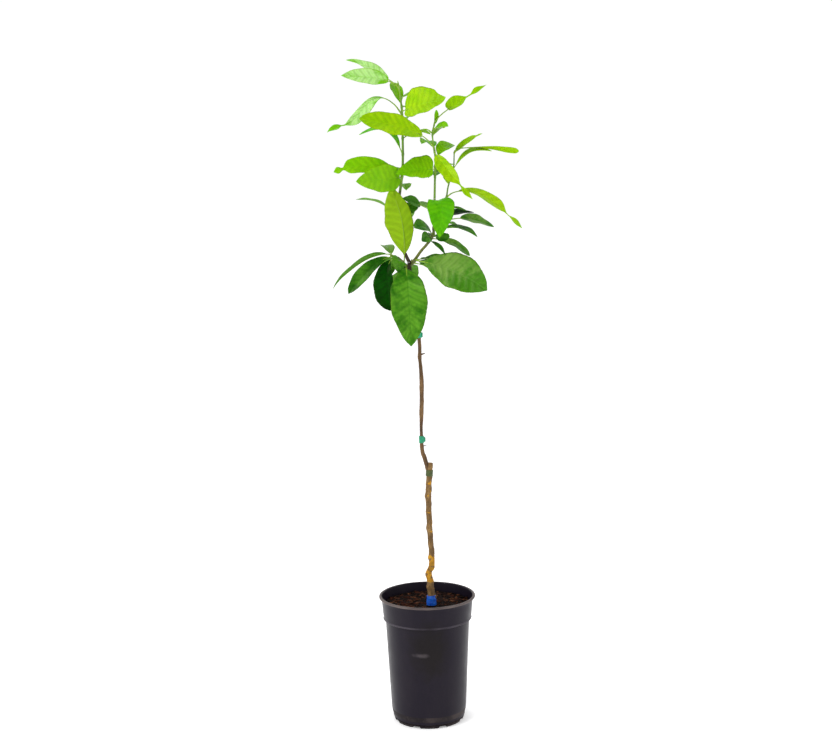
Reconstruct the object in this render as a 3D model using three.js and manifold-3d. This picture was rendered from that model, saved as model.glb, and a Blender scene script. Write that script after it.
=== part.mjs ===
/**
 * Potted lemon tree: a young grafted tree about 1.1 m tall in a tall one-gallon nursery pot.
 *
 * Millimetres, +Z up. The origin is the centre of the pot's underside. The front of the plant, where its
 * largest leaves hang, faces -Y, and +X is to the right of someone who looks at that front.
 *
 * The trunk is the rootstock with the scion that is grafted to it. It forks into a leader and a right
 * bough. Each mass of leaves is one stretch of shoot with its leaves. Every leaf stands on its shoot at a
 * distance along it, points along a bearing, and rises or hangs by its own angle. Bearings are in degrees
 * seen from above: 0 is +X, 90 is the far side, 180 is -X and -90 is the front.
 */
import * as THREE from "three";
import { mergeVertices } from "three/addons/utils/BufferGeometryUtils.js";
import Module from "manifold-3d";

const wasm = await Module();
wasm.setup();

// Pot: a thin plastic pot with a rolled lip and a stepped collar
const POT_HEIGHT = 217;
const LIP_RADIUS = 82.5;
const LIP_DEPTH = 5;
const COLLAR_TOP_RADIUS = 78.4;
const COLLAR_FOOT_RADIUS = 75.4;
const COLLAR_FOOT = 177;
const BODY_TOP_RADIUS = 72;
const BODY_FOOT_RADIUS = 63.5;
const FOOT_RADIUS = 59.5;
const FOOT_WIDTH = 8;
const FOOT_HEIGHT = 4;
const FOOT_EDGE = 2;
const WALL = 1.7;
const FLOOR_TOP = 7;
const BOSS_RADIUS = 14;
const DRAIN_COUNT = 8;
const DRAIN_WIDTH = 14;
const POT_SIDES = 40;

// Soil: fills the pot to a little under its lip
const SOIL_TOP = 204.7;
const SOIL_EDGE_DROP = 2.5;
const GAP = 0.3;
const GROUND = SOIL_TOP + GAP;

// Trunk, as x, y, z and radius at each bend
const ROOTSTOCK = [
  [7, -24, GROUND, 6.9],
  [7, -23, 223, 6.3],
  [5, -22, 248, 5.1],
  [4, -21, 262, 4.8],
  [9, -21, 281, 5.0],
  [6, -18, 345, 4.7],
  [5, -16, 390, 4.9],
  [7, -15, 427, 4.9],
  [9, -14, 449, 4.6],
];
const SCION = [
  [7, -15, 424, 3.7],
  [4, -14.5, 442, 3.8],
  [0, -14, 457, 3.6],
  [-4, -13, 471, 3.2],
  [-5, -12, 508, 2.7],
  [-4, -11, 534, 3.5],
  [-3, -10, 588, 3.8],
  [-5, -9, 622, 2.9],
  [-6, -8, 660, 3.2],
  [-13, -6, 718, 3.1],
  [-19, -4, 765, 3.6],
  [-20, -4, 786.5, 3.4],
];
const TRUNK_SIDES = 8;
const TRUNK_STEP = 12;
const BARK_SWELL = 0.05;
const BAND_SIDES = 12;

// Stubs on the trunk: the height each leaves it, its bearing, length and foot radius
const STUBS = [
  { height: 477, bearing: 0, long: 8, radius: 1.3 },
  { height: 632, bearing: 0, long: 9, radius: 2.2 },
];

// Bands of tape round the trunk, from one height to another, with what they add to its radius
const BANDS = {
  foot_band: { from: GROUND, to: 222.5, over: 1.7, color: 0x0a55bb, roughness: 0.45 },
  graft_tape: { from: 427, to: 437, over: 1.0, color: 0x43521c, roughness: 0.6 },
  tie_low: { from: 483, to: 495, over: 1.5, color: 0x06976a, roughness: 0.5 },
  tie_high: { from: 660, to: 671, over: 1.5, color: 0x06976a, roughness: 0.5 },
};

// Shoots, as x, y, z and radius at each bend
const LEADER = [
  [-20, -4, 787, 3.0],
  [-28, -3, 803, 2.9],
  [-38, -2, 818, 2.8],
  [-39, 0, 850, 2.6],
  [-35, 2, 890, 2.4],
  [-28, 4, 945, 2.1],
  [-27, 6, 1024, 1.7],
  [-30, 8, 1061, 1.4],
  [-33, 8, 1082, 1.1],
];
const RIGHT_SHOOT = [
  [-15.7, -4.4, 786, 2.5],
  [-9, -5, 793, 2.5],
  [0, -5, 805, 2.4],
  [10, -6, 816, 2.4],
  [18, -7, 828, 2.3],
  [22, -8, 843, 2.2],
  [25, -10, 925, 1.7],
  [26, -11, 957, 1.5],
  [22, -12, 994, 1.2],
  [25, -12, 1010, 1.0],
];
const SIDE_SHOOT = [
  [26.4, -7.8, 879.5, 1.5],
  [35, -6, 883, 1.5],
  [43, -4, 892, 1.4],
  [47, 0, 911, 1.3],
  [56, 5, 940, 1.2],
  [58, 8, 967, 1.0],
];
const LEFT_SPUR = [
  [-24.0, -6.8, 780.5, 2.0],
  [-28, -9.5, 784, 1.9],
  [-33, -12.5, 790, 1.8],
  [-38, -15, 794.5, 1.7],
  [-48, -17, 797, 1.4],
];
const RIGHT_SPUR = [
  [-16.7, -8.0, 780.8, 1.9],
  [-14, -10, 784.5, 1.7],
  [-9, -12, 790, 1.4],
];
const BACK_SPUR = [
  [-19.4, 0.6, 779, 1.9],
  [-18, 7, 783, 1.7],
  [-16, 12, 789, 1.4],
];
const TWIG_SIDES = 6;

// A leaf's own sizes, where its line below says nothing else. Lengths run from the shoot to the tip.
const LEAF = {
  rise: 0,
  arch: 0.1,
  peak: 0.5,
  recurve: 0,
  curl: 0,
  sway: 0,
  roll: 0,
  twist: 0,
  stalk: 0.1,
  widest: 0.42,
  blunt: 1.65,
  lean: 0,
  fold: 12,
  waist: 0,
  neck: 0.8,
};
const LEAF_SPANS = 7;
const LEAF_THICKNESS = 0.0115;
const THINNEST_LEAF = 0.9;
const STALK_RADIUS = 1.15;
const STEPS_PER_BEND = 12;

// Far side: leaves that turn round the shoot by the golden angle, kept within a spread of bearings, and
// left out where they would come too near another leaf's midrib
const GOLDEN_ANGLE = 137.5;
const FAR_SPREAD = 84;
const FAR_CLEARANCE = 12;

/** One stretch of shoot for each mass of leaves, with the leaves that it carries. */
const MASSES = [
  {
    name: "leaves_leader_top",
    shoot: LEADER,
    from: 200,
    to: 302,
    color: 0x7fb81a,
    seed: 25,
    far: { count: 4, from: 205, to: 296, bearing: 60, rise: 0, long: 64 },
    leaves: [
      {
        along: 289, bearing: -158, rise: 12, long: 104, wide: 32, arch: 0.1, peak: 0.3, roll: -62,
        stalk: 0.2,
      },
      {
        along: 296, bearing: 165, rise: 27, long: 102, wide: 30, arch: 0.06, peak: 0.6, roll: -24,
        stalk: 0.2,
      },
      { along: 262, bearing: 110, rise: 46, long: 60, wide: 22, arch: 0.05, widest: 0.6 },
      {
        along: 248, bearing: -150, rise: -4, long: 142, wide: 24, arch: 0.11, peak: 0.2, recurve: 0.11,
        curl: -0.15, sway: 0.08, roll: -35, twist: -40, stalk: 0.14, widest: 0.45, blunt: 1.8,
        lean: -0.4, waist: 0.95, neck: 0.73,
      },
      {
        along: 254, bearing: -28, rise: 10, long: 84, wide: 52, arch: 0.02, curl: 0.06, sway: 0.1,
        roll: 68, stalk: 0.08, widest: 0.34, blunt: 1.2, lean: -0.25, fold: 8,
      },
    ],
  },
  {
    name: "leaves_leader_middle",
    shoot: LEADER,
    from: 124,
    to: 199.7,
    color: 0x5fa51c,
    seed: 34,
    far: { count: 3, from: 132, to: 168, bearing: 90, rise: -10, long: 72 },
    leaves: [
      {
        along: 183, bearing: 160, rise: 24, long: 86, wide: 30, arch: 0.3, roll: -12, twist: -30,
        widest: 0.5,
      },
      {
        along: 156, bearing: -175, rise: 0, long: 115, wide: 33, arch: 0.09, peak: 0.55, roll: -62,
        widest: 0.5, waist: 0.74, neck: 0.84,
      },
      {
        along: 146, bearing: -138, rise: -4, long: 100, wide: 47, arch: 0, roll: -86, stalk: 0.03,
        widest: 0.35, blunt: 1.35, lean: 0.05, fold: 8,
      },
    ],
  },
  {
    name: "leaves_leader_foot",
    shoot: LEADER,
    from: 74,
    to: 123.7,
    color: 0x3f7d1e,
    seed: 40,
    far: { count: 3, from: 78, to: 120, bearing: 75, rise: -10, long: 80 },
    leaves: [
      {
        along: 94, bearing: 18, rise: 2, long: 36, wide: 27, arch: -0.04, roll: 45, widest: 0.4,
        blunt: 1.8,
      },
      { along: 84, bearing: 164, rise: 20, long: 78, wide: 20, arch: 0.12, roll: 10 },
    ],
  },
  {
    name: "leaves_right_top",
    shoot: RIGHT_SHOOT,
    from: 205,
    to: 240,
    color: 0x96c814,
    seed: 43,
    far: { count: 1, from: 208, to: 222, bearing: 60, rise: 20, long: 44 },
    leaves: [
      {
        along: 238, bearing: 15, rise: 36, long: 113, wide: 27, arch: 0.06, peak: 0.25, roll: 42,
        stalk: 0.3, widest: 0.24, lean: -0.2, waist: 0.95, neck: 0.55,
      },
      { along: 236, bearing: 40, rise: 78, long: 28, wide: 8, arch: -0.08, roll: 70, widest: 0.6 },
      { along: 231, bearing: -52, rise: 4, long: 40, wide: 18, arch: 0.1, roll: 40 },
      { along: 224, bearing: -156, rise: 28, long: 18, wide: 5, arch: 0.1 },
    ],
  },
  {
    name: "leaves_right_middle",
    shoot: RIGHT_SHOOT,
    from: 118,
    to: 204.7,
    color: 0x6fae1a,
    seed: 54,
    far: { count: 3, from: 130, to: 200, bearing: 75, rise: 10, long: 64 },
    leaves: [
      {
        along: 195, bearing: -160, rise: 22, long: 140, wide: 42, arch: 0.12, peak: 0.33, roll: -62,
        stalk: 0.2, widest: 0.5, blunt: 1.4, fold: 10,
      },
      {
        along: 166, bearing: 180, rise: -6, long: 66, wide: 44, arch: 0.05, roll: -60, stalk: 0.04,
        widest: 0.25, blunt: 1.2, lean: 0.1,
      },
      {
        along: 193, bearing: -47, rise: -42, long: 117, wide: 24, arch: 0.04, sway: 0.08, roll: 46,
        twist: -18, stalk: 0.05, widest: 0.37, lean: 0.2, waist: 0.83, neck: 0.72,
      },
      {
        along: 178, bearing: 48, rise: 29, long: 58, wide: 25, arch: 0.18, roll: 28, stalk: 0.2,
        widest: 0.5, blunt: 1.75, lean: -0.1,
      },
    ],
  },
  {
    name: "leaves_right_foot",
    shoot: RIGHT_SHOOT,
    from: 42,
    to: 117.7,
    color: 0x3c781e,
    seed: 68,
    far: { count: 4, from: 48, to: 114, bearing: 45, rise: 0, long: 64 },
    leaves: [
      {
        along: 108, bearing: -84, rise: -44, long: 78, wide: 46, arch: 0.38, peak: 0.38, sway: -0.06,
        widest: 0.4,
      },
      {
        along: 97, bearing: -150, rise: 20, long: 65, wide: 26, arch: 0.02, peak: 0.6, roll: -48,
        stalk: 0.45, widest: 0.35,
      },
      { along: 58, bearing: -132, rise: 15, long: 48, wide: 30, arch: 0.17, roll: -44, widest: 0.5 },
      {
        along: 53, bearing: -110, rise: -6, long: 48, wide: 21, arch: 0.11, roll: -56, widest: 0.5,
        lean: -0.15,
      },
      {
        along: 57, bearing: -52, rise: -14, long: 36, wide: 23, arch: 0.11, roll: 28, widest: 0.75,
        blunt: 1.55,
      },
      { along: 76, bearing: 12, rise: -4, long: 104, wide: 28, arch: 0.12, roll: 35, stalk: 0.42 },
      { along: 83, bearing: 30, rise: 8, long: 80, wide: 18, arch: 0.07, roll: 32 },
      {
        along: 68, bearing: -28, rise: -10, long: 82, wide: 27, arch: 0.12, peak: 0.55, roll: 8,
        widest: 0.47,
      },
      {
        along: 51, bearing: 4, rise: -25, long: 72, wide: 23, arch: 0.12, roll: 36, widest: 0.6,
        lean: 0.2,
      },
      { along: 48, bearing: -45, rise: -34, long: 42, wide: 15, arch: 0.08, sway: 0.04 },
    ],
  },
  {
    name: "leaves_side_shoot",
    shoot: SIDE_SHOOT,
    from: 0,
    to: 101,
    color: 0x8cc216,
    seed: 78,
    far: { count: 1, from: 30, to: 90, bearing: 60, rise: -20, long: 44 },
    leaves: [
      {
        along: 22, bearing: -4, rise: -23, long: 137, wide: 31, arch: 0.19, peak: 0.35, sway: 0.06,
        roll: 30, twist: 22, widest: 0.4, waist: 0.92, neck: 0.74,
      },
      {
        along: 99, bearing: -14, rise: 32, long: 57, wide: 15, arch: 0.06, roll: 50, stalk: 0.05,
        widest: 0.34, waist: 0.5,
      },
      {
        along: 72, bearing: 7, rise: 23, long: 72, wide: 19, arch: 0.2, sway: 0.02, roll: 22,
        stalk: 0.07, widest: 0.55,
      },
      {
        along: 98, bearing: 11, rise: 1, long: 112, wide: 11, arch: 0.08, peak: 0.25, sway: 0.03,
        roll: 38, twist: 90, widest: 0.8, blunt: 1.8,
      },
    ],
  },
  {
    name: "leaves_fork_left",
    shoot: LEFT_SPUR,
    from: 0,
    to: 36,
    color: 0x2c6a1c,
    seed: 84,
    far: { count: 1, from: 26, to: 34, bearing: 145, rise: -38, long: 80 },
    leaves: [
      {
        along: 26, bearing: -169, rise: -23, long: 118, wide: 27, arch: 0.15, peak: 0.35, curl: -0.04,
        roll: 22,
      },
      {
        along: 24, bearing: -156, rise: -33, long: 105, wide: 24, arch: 0.12, peak: 0.35, roll: -56,
        widest: 0.56, lean: 0.2,
      },
      {
        along: 22, bearing: -110, rise: -66, long: 94, wide: 35, arch: 0.27, peak: 0.33, sway: 0.06,
        roll: -15, widest: 0.6, blunt: 1.75, lean: 0.35,
      },
      { along: 34, bearing: 110, rise: 17, long: 55, wide: 23, arch: 0.15, widest: 0.44, blunt: 1.9 },
      {
        along: 12, bearing: -103, rise: -41, long: 29, wide: 28, arch: 0.45, sway: 0.04, roll: -33,
        widest: 0.38, blunt: 1.4,
      },
      {
        along: 7, bearing: 172, rise: 81, long: 128, wide: 49, arch: 0.08, sway: -0.06, roll: 88,
        stalk: 0.12, widest: 0.5, lean: 0.25,
      },
      {
        along: 3, bearing: -84.5, rise: -60, long: 150, wide: 62, arch: 0.16, peak: 0.35, sway: 0.01,
        widest: 0.46, fold: 8,
      },
    ],
  },
  {
    name: "leaves_fork_back",
    shoot: BACK_SPUR,
    from: 0,
    to: 15,
    color: 0x336f1e,
    seed: 44,
    far: { count: 3, from: 5, to: 14, bearing: 124, rise: -44, long: 92 },
    leaves: [],
  },
  {
    name: "leaves_fork_right",
    shoot: RIGHT_SPUR,
    from: 0,
    to: 18,
    color: 0x3f7f22,
    seed: 102,
    far: { count: 3, from: 6, to: 18, bearing: 30, rise: -22, long: 90 },
    leaves: [
      {
        along: 14, bearing: -26, rise: -21, long: 138, wide: 63, arch: 0.06, sway: -0.02, roll: 66,
        widest: 0.52, blunt: 1.85,
      },
    ],
  },
];

/** A repeatable row of numbers from 0 to 1. */
function seeded(seed) {
  let state = seed * 7919;
  return () => {
    state = (state * 16807) % 2147483647;
    return state / 2147483647;
  };
}

/** A limb's centre line through its bends, measured in millimetres from its foot. */
class Limb {
  constructor(bends) {
    const places = bends.map(([x, y, z]) => new THREE.Vector3(x, y, z));
    const curve = new THREE.CatmullRomCurve3(places, false, "catmullrom", 0.5);
    this.points = curve.getPoints((bends.length - 1) * STEPS_PER_BEND);
    this.radii = this.points.map((_, i) => {
      const bend = Math.min(Math.floor(i / STEPS_PER_BEND), bends.length - 2);
      return THREE.MathUtils.lerp(bends[bend][3], bends[bend + 1][3], i / STEPS_PER_BEND - bend);
    });
    this.marks = [0];
    for (let i = 1; i < this.points.length; i++) {
      this.marks.push(this.marks[i - 1] + this.points[i].distanceTo(this.points[i - 1]));
    }
    this.length = this.marks[this.marks.length - 1];
  }

  /** The centre and radius at a distance from the foot. */
  at(distance) {
    let i = 1;
    while (i < this.marks.length - 1 && this.marks[i] < distance) {
      i++;
    }
    const stretch = this.marks[i] - this.marks[i - 1];
    const share = THREE.MathUtils.clamp((distance - this.marks[i - 1]) / stretch, 0, 1);
    return {
      point: this.points[i - 1].clone().lerp(this.points[i], share),
      radius: THREE.MathUtils.lerp(this.radii[i - 1], this.radii[i], share),
    };
  }

  /** The distance from the foot at which the limb reaches a height. */
  reach(height) {
    let i = 1;
    while (i < this.points.length - 1 && this.points[i].z < height) {
      i++;
    }
    const share = (height - this.points[i - 1].z) / (this.points[i].z - this.points[i - 1].z);
    return THREE.MathUtils.lerp(this.marks[i - 1], this.marks[i], share);
  }
}

/** Makes a solid of a closed three.js geometry. */
function solidOf(geometry) {
  geometry.deleteAttribute("normal");
  geometry.deleteAttribute("uv");
  const merged = mergeVertices(geometry, 1e-4);
  return new wasm.Manifold(
    new wasm.Mesh({
      numProp: 3,
      vertProperties: new Float32Array(merged.attributes.position.array),
      triVerts: new Uint32Array(merged.index.array),
    }),
  );
}

/** Makes a three.js geometry of a solid. */
function geometryOf(solid) {
  const mesh = solid.getMesh();
  const geometry = new THREE.BufferGeometry();
  geometry.setAttribute("position", new THREE.BufferAttribute(new Float32Array(mesh.vertProperties), 3));
  geometry.setIndex(new THREE.BufferAttribute(new Uint32Array(mesh.triVerts), 1));
  return geometry;
}

/** Skins a row of rings, each with the same even number of corners, and closes its two ends. */
function skin(rings) {
  const corners = rings[0].length;
  const half = corners / 2;
  const index = [];
  const quad = (a, b, c, d) => index.push(a, b, c, a, c, d);
  for (let i = 0; i < rings.length - 1; i++) {
    for (let j = 0; j < corners; j++) {
      const next = (j + 1) % corners;
      quad(i * corners + j, i * corners + next, (i + 1) * corners + next, (i + 1) * corners + j);
    }
  }
  const last = (rings.length - 1) * corners;
  for (let j = 0; j < half - 1; j++) {
    quad(corners - 1 - j, corners - 2 - j, j + 1, j);
    quad(last + j, last + j + 1, last + corners - 2 - j, last + corners - 1 - j);
  }
  const geometry = new THREE.BufferGeometry().setFromPoints(rings.flat());
  geometry.setIndex(signedVolume(rings.flat(), index) < 0 ? index.reverse() : index);
  return solidOf(geometry);
}

/** The volume that a row of triangles closes, negative where they face inwards. */
function signedVolume(points, index) {
  let volume = 0;
  for (let i = 0; i < index.length; i += 3) {
    const [a, b, c] = [points[index[i]], points[index[i + 1]], points[index[i + 2]]];
    volume += a.dot(b.clone().cross(c));
  }
  return volume / 6;
}

/** A round tube along a limb between two distances, with more or less radius than the limb's own. */
function tube(limb, from, to, options = {}) {
  const { step = 9, sides = TWIG_SIDES, over = 0, swell = () => 1, level = null } = options;
  const count = Math.max(2, Math.ceil((to - from) / step));
  const places = Array.from({ length: count + 1 }, (_, i) => limb.at(from + ((to - from) * i) / count));
  const rings = [];
  let across = new THREE.Vector3(1, 0, 0);
  places.forEach(({ point, radius }, i) => {
    const before = places[Math.max(i - 1, 0)].point;
    const after = places[Math.min(i + 1, count)].point;
    const along = after.clone().sub(before).normalize();
    across = across.clone().addScaledVector(along, -across.dot(along)).normalize();
    const other = along.clone().cross(across);
    const ring = [];
    for (let k = 0; k < sides; k++) {
      const angle = (2 * Math.PI * k) / sides;
      const reach = (radius + over) * swell(i, k);
      const corner = point.clone();
      corner.addScaledVector(across, Math.cos(angle) * reach).addScaledVector(other, Math.sin(angle) * reach);
      if (i === 0 && level !== null) {
        corner.z = level;
      }
      ring.push(corner);
    }
    rings.push(ring);
  });
  return skin(rings);
}

/** A leaf's chord, its upward axis and its right-hand axis. */
function leafAxes({ bearing, rise }) {
  const turn = THREE.MathUtils.degToRad(bearing);
  const tilt = THREE.MathUtils.degToRad(rise);
  const level = new THREE.Vector3(Math.cos(turn), Math.sin(turn), 0);
  const chord = level.clone().multiplyScalar(Math.cos(tilt)).setZ(Math.sin(tilt));
  const up = level.clone().multiplyScalar(-Math.sin(tilt)).setZ(Math.cos(tilt));
  return { chord, up, side: chord.clone().cross(up) };
}

/** The point of a leaf's midrib at a share of the way from its root to its tip. */
function midrib(leaf, root, share) {
  const { chord, up, side } = leafAxes(leaf);
  const bow = Math.sin(Math.PI * share ** (Math.log(0.5) / Math.log(leaf.peak)));
  const tip = Math.max(0, share - 0.8) / 0.2;
  const lift = leaf.arch * bow + leaf.recurve * Math.sin(2 * Math.PI * share) + leaf.curl * tip * tip;
  return root
    .clone()
    .addScaledVector(chord, leaf.long * share)
    .addScaledVector(up, leaf.long * lift)
    .addScaledVector(side, leaf.long * leaf.sway * bow);
}

/** A blade's width at a share of its length, as a part of its full width. */
function bladeWidth({ widest, blunt, waist, neck }, share) {
  const body = (share / widest) ** (blunt * widest) * ((1 - share) / (1 - widest)) ** (blunt * (1 - widest));
  const pinch = waist * Math.exp(-(((share - neck) / (0.35 * (1 - neck))) ** 2));
  const tail = 0.12 * waist * Math.exp(-(((share - (0.45 * neck + 0.55)) / (0.28 * (1 - neck))) ** 2));
  return body * (1 - pinch) + tail;
}

/** One leaf: a blade folded along its midrib, on a stalk that is rooted in the middle of the shoot. */
function leafSolid(leaf, root) {
  const { up } = leafAxes(leaf);
  const thickness = Math.max(THINNEST_LEAF, leaf.long * LEAF_THICKNESS);
  const fold = THREE.MathUtils.degToRad(leaf.fold);
  const rings = [];
  for (let i = 0; i <= LEAF_SPANS; i++) {
    const share = THREE.MathUtils.clamp(i / LEAF_SPANS, 0.015, 0.985);
    const place = leaf.stalk + (1 - leaf.stalk) * share;
    const middle = midrib(leaf, root, place);
    const along = midrib(leaf, root, place + 0.004).sub(midrib(leaf, root, place - 0.004)).normalize();
    const lift = up.clone().addScaledVector(along, -up.dot(along)).normalize();
    const roll = THREE.MathUtils.degToRad(leaf.roll + leaf.twist * (share - 0.4));
    const normal = lift.clone().multiplyScalar(Math.cos(roll));
    normal.addScaledVector(along.clone().cross(lift), Math.sin(roll));
    const across = along.clone().cross(normal);
    const half = Math.max(0.5, (leaf.wide / 2) * bladeWidth(leaf, share));
    const corner = (reach, level) => {
      const side = reach * half * (1 + leaf.lean * reach);
      const height = Math.abs(side) * Math.sin(fold) + level;
      const point = middle.clone().addScaledVector(across, side * Math.cos(fold));
      return point.addScaledVector(normal, height);
    };
    const skinHalf = thickness / 2;
    const edgeHalf = thickness / 4;
    rings.push([
      corner(-1, edgeHalf),
      corner(0, skinHalf),
      corner(1, edgeHalf),
      corner(1, -edgeHalf),
      corner(0, -skinHalf),
      corner(-1, -edgeHalf),
    ]);
  }
  return skin(rings).add(stalkSolid(leaf, root));
}

/** A leaf's stalk, which runs on a little way under the blade as its midrib. */
function stalkSolid(leaf, root) {
  const end = Math.min(leaf.stalk + 0.12, 0.6);
  const count = Math.max(2, Math.round((leaf.long * end) / 14));
  const bends = Array.from({ length: count + 1 }, (_, i) => {
    const share = (end * i) / count;
    const { x, y, z } = midrib(leaf, root, share);
    const slender = Math.min(1, 0.55 + leaf.long / 250);
    return [x, y, z, STALK_RADIUS * slender * (1 - 0.45 * (i / count))];
  });
  const stalk = new Limb(bends);
  return tube(stalk, 0, stalk.length, { sides: 4, step: 14 });
}

/** The far leaves of a mass, set by its seed within the stretch, the bearing and the rise it names. */
function farLeaves({ seed, far }) {
  const random = seeded(seed);
  const around = (middle, spread) => middle + spread * (2 * random() - 1);
  return Array.from({ length: far.count }, (_, i) => {
    const turn = ((seed + i * GOLDEN_ANGLE) % FAR_SPREAD) - FAR_SPREAD / 2;
    const long = around(far.long, 12);
    return {
      along: far.from + ((far.to - far.from) * (i + random())) / far.count,
      bearing: far.bearing + turn,
      rise: around(far.rise, 8),
      long,
      wide: long * around(0.42, 0.04),
      arch: around(0.12, 0.04),
      roll: around(0, 12),
    };
  });
}

/** Points along a leaf's midrib, from which other leaves keep their distance. */
function ribPoints(leaf, root) {
  return [0.3, 0.4, 0.5, 0.6, 0.7, 0.8, 0.9, 1].map((share) => midrib(leaf, root, share));
}

/** The leaves of every mass: its own, then the far ones that find room. */
function placeLeaves() {
  const limbs = new Map();
  const placed = MASSES.map((mass) => {
    if (!limbs.has(mass.shoot)) {
      limbs.set(mass.shoot, new Limb(mass.shoot));
    }
    const limb = limbs.get(mass.shoot);
    const leaves = mass.leaves.map((own) => ({ leaf: { ...LEAF, ...own }, root: limb.at(own.along).point }));
    return { mass, limb, leaves };
  });
  const taken = placed.flatMap(({ leaves }) => leaves.flatMap(({ leaf, root }) => ribPoints(leaf, root)));
  placed.forEach(({ mass, limb, leaves }) => {
    farLeaves(mass).forEach((own) => {
      const leaf = { ...LEAF, ...own };
      const root = limb.at(leaf.along).point;
      const ribs = ribPoints(leaf, root);
      if (ribs.every((rib) => taken.every((point) => point.distanceTo(rib) > FAR_CLEARANCE))) {
        leaves.push({ leaf, root });
        taken.push(...ribs);
      }
    });
  });
  return placed;
}

/** Fuses a stretch of shoot with its leaves. */
function massSolid({ mass, limb, leaves }) {
  const stem = tube(limb, mass.from, mass.to);
  return leaves.reduce((whole, { leaf, root }) => whole.add(leafSolid(leaf, root)), stem);
}

/** The pot, with its drain notches cut through the ring that it stands on. */
function potSolid() {
  const inner = (radius) => radius - WALL;
  const profile = [
    [0, 0],
    [BOSS_RADIUS, 0],
    [BOSS_RADIUS + 1, FOOT_HEIGHT],
    [FOOT_RADIUS - FOOT_WIDTH - 1, FOOT_HEIGHT],
    [FOOT_RADIUS - FOOT_WIDTH, 0],
    [FOOT_RADIUS, 0],
    [FOOT_RADIUS + 1, FOOT_HEIGHT],
    [BODY_FOOT_RADIUS, FOOT_HEIGHT + FOOT_EDGE],
    [BODY_TOP_RADIUS, COLLAR_FOOT - 1],
    [COLLAR_FOOT_RADIUS, COLLAR_FOOT + 1],
    [COLLAR_TOP_RADIUS, POT_HEIGHT - LIP_DEPTH - 0.6],
    [LIP_RADIUS - 1.4, POT_HEIGHT - LIP_DEPTH],
    [LIP_RADIUS, POT_HEIGHT - LIP_DEPTH + 1.4],
    [LIP_RADIUS, POT_HEIGHT - 1.6],
    [LIP_RADIUS - 1.2, POT_HEIGHT],
    [LIP_RADIUS - 3, POT_HEIGHT],
    [inner(COLLAR_TOP_RADIUS) + 1, POT_HEIGHT - 1.6],
    [inner(COLLAR_TOP_RADIUS), POT_HEIGHT - LIP_DEPTH - 2],
    [inner(COLLAR_FOOT_RADIUS), COLLAR_FOOT + 2],
    [inner(BODY_TOP_RADIUS), COLLAR_FOOT - 1],
    [inner(BODY_FOOT_RADIUS), FLOOR_TOP],
    [0, FLOOR_TOP],
  ].map(([radius, height]) => new THREE.Vector2(radius, height));
  let pot = solidOf(new THREE.LatheGeometry(profile, POT_SIDES).rotateX(Math.PI / 2));
  for (let i = 0; i < DRAIN_COUNT; i++) {
    const notch = new THREE.BoxGeometry(FOOT_WIDTH * 2, DRAIN_WIDTH, 2 * (FOOT_HEIGHT - 1));
    notch.translate(FOOT_RADIUS - FOOT_WIDTH / 2, 0, 0);
    notch.rotateZ((2 * Math.PI * (i + 0.5)) / DRAIN_COUNT);
    pot = pot.subtract(solidOf(notch));
  }
  return pot;
}

/** The soil, a plug that fills the pot. */
function soilSolid() {
  const clear = WALL + GAP + 0.15;
  const profile = [
    [0, FLOOR_TOP + GAP],
    [BODY_FOOT_RADIUS - clear, FLOOR_TOP + GAP],
    [BODY_TOP_RADIUS - clear, COLLAR_FOOT - 1],
    [COLLAR_FOOT_RADIUS - clear, COLLAR_FOOT + 3],
    [COLLAR_TOP_RADIUS - clear - 0.8, SOIL_TOP - SOIL_EDGE_DROP],
    [COLLAR_TOP_RADIUS - clear - 14, SOIL_TOP],
    [0, SOIL_TOP],
  ].map(([radius, height]) => new THREE.Vector2(radius, height));
  return solidOf(new THREE.LatheGeometry(profile, POT_SIDES).rotateX(Math.PI / 2));
}

/** A short tapered stub that leaves the trunk. */
function stubSolid(limb, { height, bearing, long, radius }) {
  const turn = THREE.MathUtils.degToRad(bearing);
  const foot = limb.at(limb.reach(height)).point;
  const bends = [0, 0.5, 1].map((share) => [
    foot.x + Math.cos(turn) * long * share,
    foot.y + Math.sin(turn) * long * share,
    foot.z + long * 0.25 * share,
    radius * (1 - 0.75 * share),
  ]);
  const stub = new Limb(bends);
  return tube(stub, 0, stub.length, { sides: 4, step: 5 });
}

/** A flat-ended band round the limbs that pass between two heights. */
function bandSolid(limbs, from, to, over) {
  const passing = limbs.filter(({ points }) => points[0].z < to && points[points.length - 1].z > from);
  const sleeve = (over, level) => {
    const swell = () => (1 + BARK_SWELL) / Math.cos(Math.PI / BAND_SIDES);
    const tubes = passing.map((limb) => {
      const start = Math.max(0, limb.reach(from) - 6);
      const end = Math.min(limb.length, limb.reach(to) + 6);
      const foot = start > 0 ? null : level;
      return tube(limb, start, end, { sides: BAND_SIDES, step: 6, over, swell, level: foot });
    });
    return tubes.reduce((whole, next) => whole.add(next));
  };
  const outer = sleeve(over, passing[0].points[0].z);
  const bore = sleeve(GAP, passing[0].points[0].z - 2);
  return outer.trimByPlane([0, 0, 1], from).trimByPlane([0, 0, -1], -to).subtract(bore);
}

/** Adds one named part to the plant. */
function addPart(group, name, solid, color, roughness) {
  const material = new THREE.MeshStandardMaterial({ color, roughness, metalness: 0 });
  const mesh = new THREE.Mesh(geometryOf(solid), material);
  mesh.name = name;
  group.add(mesh);
}

const plant = new THREE.Group();
plant.name = "potted_lemon_tree";

addPart(plant, "pot", potSolid(), 0x2d2a30, 0.5);
addPart(plant, "soil", soilSolid(), 0x33190f, 0.95);

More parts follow.
